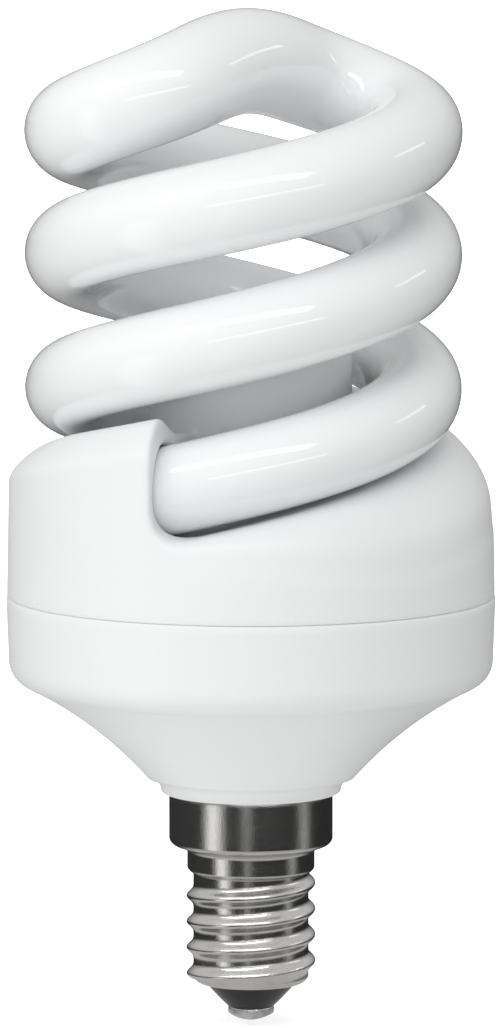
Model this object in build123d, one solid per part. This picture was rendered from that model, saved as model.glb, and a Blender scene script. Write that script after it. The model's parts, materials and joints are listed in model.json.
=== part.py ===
from build123d import *

import os
from math import cos, pi, radians, sin, sqrt

# Compact fluorescent bulb with a small Edison screw cap, in millimetres.
# The axis of the cap and the housing is Z, and z = 0 is the tip of the cap.
# A bearing is an angle about Z in degrees: 0 is +X, and -90 faces the viewer.

# Screw cap
SKIRT_RADIUS = 8.8
SKIRT_TOP = 24.9
SKIRT_LENGTH = 5.0
NECK_RADIUS = 6.85
NECK_LENGTH = 1.9
THREAD_CREST_RADIUS = 6.945
THREAD_ROOT_RADIUS = 6.15
THREAD_PITCH = 2.822
THREAD_ROUND = 0.822
THREAD_TURNS = 3.45
THREAD_BEARING = -81.0
CAP_SHEET = 0.3
CAP_CORNER = 1.3
CAP_RIM_RADIUS = 5.1
CAP_RIM_ROUND = 0.9

# Foot of the cap: solder, contact plate and glass insulator
SOLDER_HEIGHT = 0.9
SOLDER_RADIUS = 2.2
CONTACT_RADIUS = 2.35
CONTACT_THICKNESS = 0.6
INSULATOR_CONE = 2.5
INSULATOR_DEPTH = 2.7
INSULATOR_BORE = 0.9
INSULATOR_FACE = 2.65

# Housing
HOUSING_RADIUS = 26.2
HOUSING_DRAFT = 0.25
WALL = 1.8
SEAM_CHAMFER = 0.3
BAND_HEIGHT = 9.6
BAND_CORNER_HEIGHT = 2.4
CREASE_INSET = 2.1
CONE_HEIGHT = 10.1
CONE_FLARE = 0.75
LIP_HEIGHT = 1.7
LIP_RADIUS = 9.7
LIP_FLARE = 1.5
COLLAR_LENGTH = 4.2
COLLAR_WALL = 1.6
FIT_CLEARANCE = 0.1
SPIGOT_LENGTH = 2.2
SPIGOT_WALL = 1.2
SPIGOT_ROOT = 1.5
BEAD = 0.25

# Glass tube: two strands half a turn apart, joined by a crossover at the top
COIL_OFFSET = -0.8
COIL_OUTER_RADIUS = 23.37
COIL_PITCH = 28.75
COIL_ABOVE_SEAM = 22.2
COIL_EASE = 1.28
EASE_START = 180.0
TUBE_RADIUS = 4.68
TUBE_SHOULDER_RADIUS = 5.15
TUBE_CROWN_RADIUS = 5.63
SWELL_START = -60.0
SWELL_POWER = 1.4
STRAND_FOOT = -165.0
STRAND_HEAD = 368.0
CROSSOVER_BEND = 7.5
CROSSOVER_TURN = 138.0
CROWN_RISE = 34.9
CROSSOVER_START = 320.0
WOUND_STEP = 15.0
END_STEP = 2.0
CROSSOVER_STEPS = 8

# Seats of the glass in the tube holder
MOUTH = -118.0
BORE_OVERRUN = 9.0
SOCKET_CLEARANCE = 0.3
SOCKET_WALL = 1.3
SEAT_GAP = 0.35
RIDGE_GAP = 1.05
RIDGE_START = -60.0
CEMENT_ANGLE = 7.0
CEMENT_CLEARANCE = 0.05
RAMP_INNER_RADIUS = 5.0
LOW_EDGE_INSET = 1.5
LOW_DROP = 1.8
ROUND_EDGE_INSET = 5.6
ROUND_DROP = 8.9
ROUND_REACH = 80.0
BOX_EDGE_INSET = 6.9
BOX_DROP = 4.2
BOX_START = 150.0
BOX_FULL = 185.0
SHOULDER_SHARE = 0.8
SECTION_COUNT = 8
WEB = 1.6
LOWER_ROOM = 4.0
BOSS_RADIUS = 10.8
BOSS_ABOVE_SEAM = 27.2
BOSS_EDGE = 0.8

# Circuit board and its ledge
BOARD_CLEARANCE = 0.7
BOARD_THICKNESS = 1.6
LEAD_RADIUS = 0.3
HOLE_CLEARANCE = 0.12
LEAD_STUB = 0.8
PART_CLEARANCE = 0.1
RIB_COUNT = 6
RIB_WIDTH = 1.5
RIB_REACH = 3.0
RIB_SINK = 0.2
RIB_FOOT = 0.5

# Wires
ELECTRODE_WIRE_RADIUS = 0.25
ELECTRODE_SPREAD = 1.0
ELECTRODE_BEND = 1.2
LEAD_GAP = 0.5
PIN_WIDTH = 0.9
PIN_HEIGHT = 4.0
PIN_ANGLE = -182.0
PIN_INSET = 4.91
LIVE_WIRE_RADIUS = 0.5
LIVE_WIRE_BEND = 3.0
NEUTRAL_WIRE_RADIUS = 0.35
NEUTRAL_WIRE_BEND = 2.5
NEUTRAL_BEARING = 120.0
NEUTRAL_REACH = 13.0

# Places on the board: distance in from its rim, or out from the axis, and bearings
AXIAL_INSET = 5.6
UPRIGHT_INSET = 7.1
FILM_INSET = 8.1
TIMING_INSET = 8.6
LINE_CHOKE_INSET = 11.1
FUSE_REACH = 11.5
DIODE_BEARINGS = (-160.0, -146.0, -132.0, -118.0)
RESISTOR_BEARINGS = (12.0, 25.5, 39.0, 52.5)
TRANSISTOR_BEARINGS = (84.0, 104.0)

# Board parts
CHOKE_WIDTH = 12.8
CHOKE_DEPTH = 4.6
CHOKE_HEIGHT = 12.0
CHOKE_LEG = 2.4
CHOKE_MIDDLE_LEG = 4.4
BOBBIN_BASE = (12.0, 10.6, 1.4)
BOBBIN_WALL = 0.6
BOBBIN_WEB = 1.2
BOBBIN_FLANGE_DEPTH = 9.4
CHOKE_PIN_SPREAD = (10.0, 8.6)
FILTER_RADIUS = 4.0
FILTER_HEIGHT = 13.5
FILTER_SPREAD = 3.5
FILTER_GROOVE = 0.35
LINE_CHOKE_RADIUS = 3.2
LINE_CHOKE_HEIGHT = 7.4
LINE_CHOKE_FLANGE = 1.0
LINE_CHOKE_WAIST = 1.5
LINE_CHOKE_SPREAD = 4.0
FUSE_RADIUS = 1.6
FUSE_LENGTH = 7.0
DIODE_SIZE = (1.3, 4.8, 8.6)
RESISTOR_SIZE = (1.15, 5.8, 9.4)
DIAC_SIZE = (0.9, 3.8, 7.4)
TRANSISTOR_RADIUS = 2.35
TRANSISTOR_FLAT = 1.3
TRANSISTOR_HEIGHT = 4.8
TRANSISTOR_STAND = 1.6
TRANSISTOR_PITCH = 1.27
TOROID_RADIUS = 4.4
TOROID_BORE = 2.4
TOROID_HEIGHT = 3.2
TOROID_LIFT = 0.75
WINDING_WIRE = 0.4
WINDING_STEP = 9.0
WINDING_TURNS = (4, 4, 3)
THERMISTOR_RADIUS = 2.9
THERMISTOR_THICKNESS = 2.2
COUPLING_SIZE = (8.0, 3.4, 6.4, 5.0)
RESONANT_SIZE = (9.0, 4.2, 7.4, 7.5)
TIMING_SIZE = (4.6, 2.6, 4.4, 2.5)
DIPPED_EDGE = 1.0

# Levels that follow from the sizes above
CONTACT_TOP = SOLDER_HEIGHT + CONTACT_THICKNESS
SKIRT_BOTTOM = SKIRT_TOP - SKIRT_LENGTH
NECK_TOP = SKIRT_BOTTOM - CAP_CORNER
NECK_BOTTOM = NECK_TOP - NECK_LENGTH
RIM_BOTTOM = CONTACT_TOP + INSULATOR_CONE
LIP_TOP = SKIRT_TOP + LIP_HEIGHT
CREASE_HEIGHT = LIP_TOP + CONE_HEIGHT
SEAM_HEIGHT = CREASE_HEIGHT + BAND_HEIGHT
COLLAR_RADIUS = SKIRT_RADIUS - CAP_SHEET - FIT_CLEARANCE
INNER_RADIUS = HOUSING_RADIUS - WALL - FIT_CLEARANCE
SPIGOT_RADIUS = INNER_RADIUS - FIT_CLEARANCE
BOARD_RADIUS = INNER_RADIUS - BOARD_CLEARANCE
BOARD_TOP = SEAM_HEIGHT - SPIGOT_LENGTH - FIT_CLEARANCE
BOARD_BOTTOM = BOARD_TOP - BOARD_THICKNESS
COIL_LEVEL = SEAM_HEIGHT + COIL_ABOVE_SEAM
CROWN_HEIGHT = COIL_LEVEL + CROWN_RISE
BOSS_TOP = SEAM_HEIGHT + BOSS_ABOVE_SEAM
STRAND_RADIUS = COIL_OUTER_RADIUS - TUBE_RADIUS
SOCKET_RADIUS = TUBE_RADIUS + SOCKET_CLEARANCE
CEMENT_FOOT = STRAND_FOOT - CEMENT_ANGLE
COIL_AXIS = Pos(COIL_OFFSET, 0, 0)
LOW_EDGE_RADIUS = HOUSING_RADIUS - LOW_EDGE_INSET
ROUND_EDGE_RADIUS = HOUSING_RADIUS - ROUND_EDGE_INSET
BOX_EDGE_RADIUS = HOUSING_RADIUS - BOX_EDGE_INSET

# Each part's place on the board: distance from the axis, bearing, and turn about its own middle
AXIAL_REACH = BOARD_RADIUS - AXIAL_INSET
UPRIGHT_REACH = BOARD_RADIUS - UPRIGHT_INSET
FILM_REACH = BOARD_RADIUS - FILM_INSET
CHOKE_PLACE = (0.0, 0.0, 0.0)
FILTER_PLACE = (0.0, 0.0, 90.0)
LINE_CHOKE_PLACE = (BOARD_RADIUS - LINE_CHOKE_INSET, 180.0, 90.0)
FUSE_PLACE = (FUSE_REACH, 0.0, 0.0)
DIODE_PLACES = [(AXIAL_REACH, bearing, 0.0) for bearing in DIODE_BEARINGS]
RESISTOR_PLACES = [(AXIAL_REACH, bearing, 0.0) for bearing in RESISTOR_BEARINGS]
DIAC_PLACE = (AXIAL_REACH, 69.0, 0.0)
TRANSISTOR_PLACES = [(UPRIGHT_REACH, bearing, 90.0) for bearing in TRANSISTOR_BEARINGS]
TOROID_PLACE = (UPRIGHT_REACH, 137.0, 0.0)
THERMISTOR_PLACE = (UPRIGHT_REACH, -14.0, 0.0)
COUPLING_PLACE = (FILM_REACH, -42.0, 90.0)
RESONANT_PLACE = (FILM_REACH, -87.0, 90.0)
TIMING_PLACE = (BOARD_RADIUS - TIMING_INSET, 164.0, 0.0)


def disc(radius, bottom, top, x=0, y=0):
    """An upright cylinder between two heights."""
    return Pos(x, y, bottom) * Cylinder(radius, top - bottom, align=(Align.CENTER, Align.CENTER, Align.MIN))


def block(length, width, bottom, top, x=0, y=0):
    """An upright box between two heights."""
    return Pos(x, y, bottom) * Box(
        length, width, top - bottom, align=(Align.CENTER, Align.CENTER, Align.MIN)
    )


def turned(*lines):
    """The solid that a closed outline of radius and height makes about the axis."""
    return revolve(Plane.XZ * make_face(Curve() + list(lines)), Axis.Z)


def save(name, shape):
    """Write one node."""
    export_step(shape, f"parts/{name}.step")
    print(f"{name}: {len(shape.solids())} solid(s), {shape.volume:.1f} mm3")


# Glass tube


def strand_height(angle):
    """Height of a strand's centre line at an angle along it."""
    past = max(0.0, (angle - EASE_START) / 180.0)
    return COIL_LEVEL + COIL_PITCH * angle / 360.0 - COIL_EASE * past**2


def strand_tube_radius(angle):
    """The tube swells from its foot to the crossover."""
    reach = max(0.0, (angle - SWELL_START) / (360.0 - SWELL_START))
    return TUBE_RADIUS + (TUBE_SHOULDER_RADIUS - TUBE_RADIUS) * reach**SWELL_POWER


def strand_point(angle):
    """Centre of the tube and its radius on the wound part of a strand."""
    size = strand_tube_radius(angle)
    reach = COIL_OUTER_RADIUS - size
    spot = Vector(reach * cos(radians(angle)), reach * sin(radians(angle)), strand_height(angle))
    return spot, size


def crossover_point(share):
    """Centre and radius at a share of the way from the strand's head to the crown."""
    head, size = strand_point(STRAND_HEAD)
    reach = COIL_OUTER_RADIUS - size
    turn = radians(CROSSOVER_TURN)
    bend_x = reach - CROSSOVER_BEND + CROSSOVER_BEND * cos(turn)
    bend_y = CROSSOVER_BEND * sin(turn)
    bend_length = CROSSOVER_BEND * turn
    length = bend_length + sqrt(bend_x**2 + bend_y**2)
    run = share * length
    if run < bend_length:
        turn = run / CROSSOVER_BEND
        x = reach - CROSSOVER_BEND + CROSSOVER_BEND * cos(turn)
        y = CROSSOVER_BEND * sin(turn)
    else:
        left = (length - run) / (length - bend_length)
        x = bend_x * left
        y = bend_y * left
    step = 0.5
    slope = (strand_height(STRAND_HEAD + step) - strand_height(STRAND_HEAD)) / (radians(step) * reach)
    blend = 3 * share**2 - 2 * share**3
    ease = share**3 - 2 * share**2 + share
    z = head.Z * (1 - blend) + CROWN_HEIGHT * blend + slope * length * ease
    spot = Vector(x, y, 0).rotate(Axis.Z, STRAND_HEAD)
    return Vector(spot.X, spot.Y, z), size + (TUBE_CROWN_RADIUS - size) * blend


def tube_circle(place):
    """Cross-section of the tube at a place given as strand degrees, or as a share past the head."""
    angle, share = place
    step = 0.01
    if share > 0:
        spot, size = crossover_point(share)
        along = spot - crossover_point(share - step)[0]
    else:
        spot, size = strand_point(angle)
        along = spot - strand_point(angle - step)[0]
    along = along.normalized()
    across = along.cross(Vector(0, 0, 1)).normalized()
    return Plane(spot, x_dir=across, z_dir=along) * Circle(size)


def wound_circles(start, end):
    """Cross-sections between two angles of a strand, with one close to each end for its slope."""
    steps = round((end - start) / WOUND_STEP)
    inner = [start + (end - start) * index / steps for index in range(1, steps)]
    angles = [start, start + END_STEP, *inner, end - END_STEP, end]
    return [tube_circle((angle, 0)) for angle in angles]


def glass_tube():
    """The sealed double spiral: two wound strands and the crossover, as one solid."""
    halfway = (STRAND_FOOT + CROSSOVER_START) / 2
    strand = loft(wound_circles(STRAND_FOOT, halfway)) + loft(wound_circles(halfway, CROSSOVER_START))
    over = [tube_circle((CROSSOVER_START, 0)), tube_circle((CROSSOVER_START + END_STEP, 0))]
    steps = round((STRAND_HEAD - CROSSOVER_START) / WOUND_STEP)
    for index in range(1, steps + 1):
        over.append(tube_circle((CROSSOVER_START + (STRAND_HEAD - CROSSOVER_START) * index / steps, 0)))
    for index in range(1, CROSSOVER_STEPS + 1):
        over.append(tube_circle((STRAND_HEAD, index / CROSSOVER_STEPS)))
    half_turn = Rot(0, 0, 180)
    over += [half_turn * section for section in reversed(over[:-1])]
    return COIL_AXIS * (strand + loft(over) + half_turn * strand)


def strand_sweep(radius, start, end):
    """A round bar along a strand's lower end, between two angles, in the coil's frame."""
    rise = COIL_PITCH * (end - start) / 360.0
    path = Helix(COIL_PITCH, rise, STRAND_RADIUS)
    spot = path @ 0
    section = Plane(spot, z_dir=path % 0) * Circle(radius)
    bar = sweep(section, path=path, is_frenet=True)
    return Pos(0, 0, strand_height(start)) * Rot(0, 0, start) * bar


def both_ends(shape):
    """A shape of strand A and its copy half a turn on, in the part's frame."""
    return [COIL_AXIS * shape, COIL_AXIS * Rot(0, 0, 180) * shape]


# Tube holder


def smooth(value, start, end):
    """A smooth step from 0 to 1 between two values."""
    share = min(1.0, max(0.0, (value - start) / (end - start)))
    return share**2 * (3 - 2 * share)


def ramp_height(angle):
    """Top of the seat under a strand, with a gap that widens towards the ridge."""
    gap = SEAT_GAP + (RIDGE_GAP - SEAT_GAP) * smooth(angle, RIDGE_START, MOUTH + 180.0)
    return strand_height(angle) - TUBE_RADIUS - gap


def shoulder(angle, boxed):
    """Edge radius and drop of the shoulder: tight at a mouth, rounder on, boxed on the front hood."""
    rounded = smooth(angle, MOUTH, MOUTH + ROUND_REACH)
    edge = LOW_EDGE_RADIUS + (ROUND_EDGE_RADIUS - LOW_EDGE_RADIUS) * rounded
    drop = LOW_DROP + (ROUND_DROP - LOW_DROP) * rounded
    edge += (BOX_EDGE_RADIUS - edge) * boxed
    drop += (BOX_DROP - drop) * boxed
    return edge, min(drop, SHOULDER_SHARE * (ramp_height(angle) - SEAM_HEIGHT))


def ramp_section(angle, boxed, inset):
    """Radial section of the holder under a strand, drawn in radius and height."""
    edge, drop = shoulder(angle, boxed)
    top = ramp_height(angle) - inset
    edge -= inset / 2
    foot_radius = HOUSING_RADIUS - inset
    wall = foot_radius - HOUSING_DRAFT
    middle = (edge + (wall - edge) * 0.72, top - drop * (0.39 + 0.12 * boxed))
    foot = SEAM_HEIGHT - inset
    outline = [
        Line((RAMP_INNER_RADIUS, foot), (foot_radius - SEAM_CHAMFER, foot)),
        Line((foot_radius - SEAM_CHAMFER, foot), (foot_radius, foot + SEAM_CHAMFER)),
        Line((foot_radius, foot + SEAM_CHAMFER), (wall, top - drop)),
        ThreePointArc((wall, top - drop), middle, (edge, top)),
        Line((edge, top), (RAMP_INNER_RADIUS, top)),
        Line((RAMP_INNER_RADIUS, top), (RAMP_INNER_RADIUS, foot)),
    ]
    return make_face(Curve() + outline)


def ramp_stretch(start, end, boxed_side, inset):
    """Part of the holder under one strand, between two angles of that strand."""
    sections = []
    for index in range(SECTION_COUNT):
        angle = start + (end - start) * index / (SECTION_COUNT - 1)
        bearing = angle + 180.0 if boxed_side else angle
        boxed = smooth(bearing, BOX_START, BOX_FULL) if boxed_side else 0.0
        sections.append(Rot(0, 0, bearing) * (Plane.XZ * ramp_section(angle, boxed, inset)))
    return loft(sections)


def ramp_body(start, end, boxed_side, inset):
    """Half of the holder, from one mouth to the next."""
    middle = (start + end) / 2
    return ramp_stretch(start, middle, boxed_side, inset) + ramp_stretch(middle, end, boxed_side, inset)


def tube_holder():
    """Upper housing: two helical seats that end in hoods, round a hollow boss."""
    end = MOUTH + 180.0
    web = WEB / STRAND_RADIUS * 180.0 / pi
    body = ramp_body(MOUTH, end, False, 0.0) + ramp_body(MOUTH, end, True, 0.0)
    boss = disc(BOSS_RADIUS, SEAM_HEIGHT, BOSS_TOP)
    body += fillet(boss.edges().sort_by(Axis.Z)[-1], BOSS_EDGE)
    hollow = ramp_body(MOUTH + web, end - web, False, WALL)
    hollow += ramp_body(MOUTH + web, end - web, True, WALL)
    hollow += disc(BOSS_RADIUS - WALL, SEAM_HEIGHT - WALL, BOSS_TOP - WALL)
    hollow += disc(SPIGOT_RADIUS - SPIGOT_WALL, SEAM_HEIGHT - WALL, SEAM_HEIGHT + LOWER_ROOM)
    for sleeve in both_ends(strand_sweep(SOCKET_RADIUS + SOCKET_WALL, CEMENT_FOOT, MOUTH)):
        hollow -= sleeve
    body -= hollow
    for bore in both_ends(strand_sweep(SOCKET_RADIUS, CEMENT_FOOT - 1, MOUTH + BORE_OVERRUN)):
        body -= bore
    spigot_bottom = SEAM_HEIGHT - SPIGOT_LENGTH
    root_radius = HOUSING_RADIUS - WALL / 2
    spigot = disc(SPIGOT_RADIUS, spigot_bottom, SEAM_HEIGHT)
    spigot += disc(root_radius, SEAM_HEIGHT, SEAM_HEIGHT + SPIGOT_ROOT)
    spigot -= disc(SPIGOT_RADIUS - SPIGOT_WALL, spigot_bottom, SEAM_HEIGHT + SPIGOT_ROOT)
    return body + spigot + snap_bead(BEAD)


def snap_bead(size):
    """Ring that the spigot carries and the base shell has a groove for."""
    return Pos(0, 0, SEAM_HEIGHT - SPIGOT_LENGTH / 2) * Torus(SPIGOT_RADIUS, size)


# Base shell


def base_shell():
    """Lower housing: collar, stepped lip, flared cone, band and the ledges for the board."""
    collar_foot = SKIRT_TOP - COLLAR_LENGTH
    collar_inner = COLLAR_RADIUS - COLLAR_WALL
    cone_foot = (LIP_RADIUS + LIP_FLARE, LIP_TOP)
    crease = (HOUSING_RADIUS - CREASE_INSET, CREASE_HEIGHT)
    slope = sqrt((crease[0] - cone_foot[0]) ** 2 + CONE_HEIGHT**2)
    flare_x = -CONE_FLARE * CONE_HEIGHT / slope
    flare_z = CONE_FLARE * (crease[0] - cone_foot[0]) / slope
    shift = WALL / sqrt(2)
    middle = ((cone_foot[0] + crease[0]) / 2 + flare_x, (LIP_TOP + CREASE_HEIGHT) / 2 + flare_z)
    band_foot = (HOUSING_RADIUS - HOUSING_DRAFT, CREASE_HEIGHT + BAND_CORNER_HEIGHT)
    corner = (band_foot[0] - CREASE_INSET * 0.27, CREASE_HEIGHT + BAND_CORNER_HEIGHT * 0.33)
    inner_crease = (crease[0] - shift, crease[1] + shift)
    inner_foot = (cone_foot[0] - shift, cone_foot[1] + shift)
    shell = turned(
        Polyline(
            (collar_inner, SKIRT_TOP),
            (collar_inner, collar_foot),
            (COLLAR_RADIUS, collar_foot),
            (COLLAR_RADIUS, SKIRT_TOP),
            (LIP_RADIUS, SKIRT_TOP),
            (LIP_RADIUS + LIP_FLARE * 0.2, SKIRT_TOP + LIP_HEIGHT * 0.5),
            cone_foot,
        ),
        ThreePointArc(cone_foot, middle, crease),
        ThreePointArc(crease, corner, band_foot),
        Polyline(
            band_foot,
            (HOUSING_RADIUS, SEAM_HEIGHT - SEAM_CHAMFER),
            (HOUSING_RADIUS - SEAM_CHAMFER, SEAM_HEIGHT),
            (INNER_RADIUS, SEAM_HEIGHT),
            (INNER_RADIUS, CREASE_HEIGHT + BAND_CORNER_HEIGHT),
            inner_crease,
        ),
        ThreePointArc(inner_crease, (middle[0] - shift, middle[1] + shift), inner_foot),
        Line(inner_foot, (collar_inner, SKIRT_TOP)),
    )
    rib_middle = INNER_RADIUS - RIB_REACH / 2 + RIB_SINK
    rib = block(RIB_REACH, RIB_WIDTH, CREASE_HEIGHT + RIB_FOOT, BOARD_BOTTOM, rib_middle)
    for index in range(RIB_COUNT):
        shell += Rot(0, 0, 360.0 * (index + 0.5) / RIB_COUNT) * rib
    return shell - snap_bead(BEAD + FIT_CLEARANCE)


# Screw cap


def cap_body(inset):
    """The cap as a filled turned body, drawn inwards by the sheet for its hollow."""
    root = THREAD_ROOT_RADIUS - inset
    neck = NECK_RADIUS - inset
    skirt = SKIRT_RADIUS - inset
    rim_foot = (CAP_RIM_RADIUS, RIM_BOTTOM + inset)
    rim_top = (root, RIM_BOTTOM + CAP_RIM_ROUND)
    rim_middle = (CAP_RIM_RADIUS + (root - CAP_RIM_RADIUS) * 0.75, RIM_BOTTOM + inset + 0.25)
    flare = (skirt - CAP_CORNER, NECK_TOP + 0.3 + inset)
    floor = [(0, SKIRT_TOP + inset), (0, RIM_BOTTOM - inset), (CAP_RIM_RADIUS, RIM_BOTTOM - inset)]
    if inset:
        floor.append(rim_foot)
    return turned(
        Polyline(*floor),
        ThreePointArc(rim_foot, rim_middle, rim_top),
        Polyline(rim_top, (root, NECK_BOTTOM), (neck, NECK_BOTTOM + 0.4), (neck, NECK_TOP + inset), flare),
        ThreePointArc(
            flare,
            (skirt - CAP_CORNER * 0.28, NECK_TOP + inset + CAP_CORNER * 0.45),
            (skirt, SKIRT_BOTTOM + inset),
        ),
        Polyline((skirt, SKIRT_BOTTOM + inset), (skirt, SKIRT_TOP + inset), (0, SKIRT_TOP + inset)),
    )


def thread_ridge(inset):
    """Knuckle ridge of the thread: a rounded crest with flanks, wound up the cap."""
    rounding = THREAD_ROUND - inset
    centre = THREAD_CREST_RADIUS - THREAD_ROUND
    root = THREAD_ROOT_RADIUS - inset - 0.15
    tip = rounding / sqrt(2)
    half = tip + (centre + tip - root)
    start_height = RIM_BOTTOM + THREAD_PITCH * 0.67
    path = Helix(THREAD_PITCH, THREAD_PITCH * THREAD_TURNS, centre)
    outline = [
        Line((root, -half), (centre + tip, -tip)),
        ThreePointArc((centre + tip, -tip), (centre + rounding, 0), (centre + tip, tip)),
        Line((centre + tip, tip), (root, half)),
        Line((root, half), (root, -half)),
    ]
    ridge = sweep(Plane.XZ * make_face(Curve() + outline), path=path, is_frenet=True)
    return Pos(0, 0, start_height) * Rot(0, 0, THREAD_BEARING) * ridge


def cap_shell():
    """Rolled metal sheet: rim, thread, neck and skirt."""
    return (cap_body(0) + thread_ridge(0)) - cap_body(CAP_SHEET) - thread_ridge(CAP_SHEET)


def cap_insulator():
    """Glass cone that carries the contact, with the part of it inside the cap."""
    waist = CAP_RIM_RADIUS - FIT_CLEARANCE
    inside = THREAD_ROOT_RADIUS - CAP_SHEET - FIT_CLEARANCE
    top = RIM_BOTTOM + INSULATOR_DEPTH
    return turned(
        Polyline(
            (INSULATOR_BORE, CONTACT_TOP),
            (INSULATOR_FACE, CONTACT_TOP),
            (waist, RIM_BOTTOM),
            (waist, RIM_BOTTOM + CAP_SHEET + FIT_CLEARANCE),
            (inside, RIM_BOTTOM + CAP_RIM_ROUND + 2 * FIT_CLEARANCE),
            (inside, top),
            (INSULATOR_BORE, top),
            (INSULATOR_BORE, CONTACT_TOP),
        )
    )


def cap_contact():
    """Contact plate with the hole for the live wire."""
    plate = disc(CONTACT_RADIUS, SOLDER_HEIGHT, CONTACT_TOP)
    return plate - disc(LIVE_WIRE_RADIUS + FIT_CLEARANCE / 2, SOLDER_HEIGHT, CONTACT_TOP)


def tip_solder():
    """Domed solder on the contact plate."""
    ball = (SOLDER_RADIUS**2 + SOLDER_HEIGHT**2) / (2 * SOLDER_HEIGHT)
    middle = SOLDER_RADIUS * 0.6
    return turned(
        ThreePointArc((0, 0), (middle, ball - sqrt(ball**2 - middle**2)), (SOLDER_RADIUS, SOLDER_HEIGHT)),
        Polyline((SOLDER_RADIUS, SOLDER_HEIGHT), (0, SOLDER_HEIGHT), (0, 0)),
    )


# Wires


def wire(points, radius, bends):
    """A round wire along straight runs with tangent bends."""
    path = FilletPolyline(*points, radius=bends)
    return sweep(Plane(path @ 0, z_dir=path % 0) * Circle(radius), path=path)


def strand_spot(angle, spread):
    """A spot beside a strand's centre line, moved outwards from the axis."""
    reach = STRAND_RADIUS + spread
    return Vector(reach * cos(radians(angle)), reach * sin(radians(angle)), strand_height(angle))


def pin_spot(spread):
    """Where a pin stands on the board, in the coil's frame."""
    reach = BOARD_RADIUS - PIN_INSET + spread
    return Vector(reach * cos(radians(PIN_ANGLE)), reach * sin(radians(PIN_ANGLE)), BOARD_TOP + PIN_HEIGHT)


def electrode_lead(spread, radius):
    """Wire from the tube's end through the cement, down to the top of its pin."""
    away = strand_spot(PIN_ANGLE, spread)
    return wire([strand_spot(STRAND_FOOT - LEAD_GAP, spread), away, pin_spot(spread)], radius, ELECTRODE_BEND)


def tube_cement():
    """Plug that closes a socket behind the tube's end, with holes for both leads."""
    plug = strand_sweep(SOCKET_RADIUS - CEMENT_CLEARANCE, CEMENT_FOOT, STRAND_FOOT - LEAD_GAP)
    for spread in (-ELECTRODE_SPREAD, ELECTRODE_SPREAD):
        plug -= electrode_lead(spread, ELECTRODE_WIRE_RADIUS + CEMENT_CLEARANCE)
    return plug


def wrap_pin(spread):
    """Square pin in the board that an electrode lead ends on."""
    spot = pin_spot(spread)
    return block(PIN_WIDTH, PIN_WIDTH, BOARD_BOTTOM - LEAD_STUB, spot.Z, spot.X, spot.Y)


def live_wire():
    """Wire from the fuse resistor down the axis to the contact."""
    reach = FUSE_PLACE[0]
    start = BOARD_BOTTOM - LEAD_STUB - FUSE_LENGTH - PART_CLEARANCE
    points = [
        (reach, 0, start),
        (reach, 0, start - 2.8),
        (0, 0, SKIRT_TOP - 1.9),
        (0, 0, SOLDER_HEIGHT),
    ]
    return wire(points, LIVE_WIRE_RADIUS, LIVE_WIRE_BEND * 0.8)


def neutral_wire():
    """Wire from the board down through the collar to the inside of the cap."""
    inner = COLLAR_RADIUS - COLLAR_WALL - 2 * NEUTRAL_WIRE_RADIUS - 0.5
    foot = NECK_TOP - NECK_LENGTH / 2
    points = [
        (NEUTRAL_REACH, 0, BOARD_BOTTOM),
        (NEUTRAL_REACH, 0, CREASE_HEIGHT - 1.7),
        (inner, 0, LIP_TOP + 0.4),
        (inner, 0, foot),
        (NECK_RADIUS - CAP_SHEET - PART_CLEARANCE, 0, foot),
    ]
    bends = (NEUTRAL_WIRE_BEND, NEUTRAL_WIRE_BEND, 0.45)
    return Rot(0, 0, NEUTRAL_BEARING) * wire(points, NEUTRAL_WIRE_RADIUS, bends)


# Board parts


def placed(shape, place):
    """A shape drawn about its own middle, moved to its place on the board."""
    reach, bearing, turn = place
    return Rot(0, 0, bearing) * Pos(reach, 0, 0) * Rot(0, 0, turn) * shape


def lead_spots(place, offsets):
    """Where a part's leads go through the board."""
    reach, bearing, turn = place
    spots = []
    for x, y in offsets:
        spot = Vector(x, y, 0).rotate(Axis.Z, turn) + Vector(reach, 0, 0)
        spots.append(spot.rotate(Axis.Z, bearing))
    return spots


def pair(spread):
    """Two leads in line, a distance apart."""
    return [(-spread / 2, 0), (spread / 2, 0)]


def upper_lead(x, y, top):
    """Straight lead of a part that stands on the board."""
    return disc(LEAD_RADIUS, BOARD_BOTTOM - LEAD_STUB, top, x, y)


def axial_part(size):
    """Round body that lies on the board on two bent leads."""
    radius, length, spread = size
    height = BOARD_TOP + PART_CLEARANCE + radius
    body = Pos(0, 0, height) * Rot(0, 90, 0) * Cylinder(radius, length)
    body = fillet(body.edges(), radius * 0.3)
    for side in (-1, 1):
        points = [
            (side * (length / 2 - 0.1), 0, height),
            (side * spread / 2, 0, height),
            (side * spread / 2, 0, BOARD_BOTTOM - LEAD_STUB),
        ]
        body += wire(points, LEAD_RADIUS, 0.7)
    return body


def dipped_part(size):
    """Rounded block of a film capacitor on two leads, a little above the board."""
    length, width, height, spread = size
    bottom = BOARD_TOP + 2 * PART_CLEARANCE
    body = fillet(block(length, width, bottom, bottom + height).edges(), DIPPED_EDGE)
    for x, y in pair(spread):
        body += upper_lead(x, y, bottom + DIPPED_EDGE)
    return body


def thermistor():
    """Upright disc on two leads."""
    bottom = BOARD_TOP + 2 * PART_CLEARANCE
    body = Pos(0, 0, bottom + THERMISTOR_RADIUS) * Rot(90, 0, 0)
    body = body * Cylinder(THERMISTOR_RADIUS, THERMISTOR_THICKNESS)
    body = fillet(body.edges(), 0.5)
    for x, y in pair(THERMISTOR_RADIUS):
        body += upper_lead(x, y, bottom + THERMISTOR_RADIUS)
    return body


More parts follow.
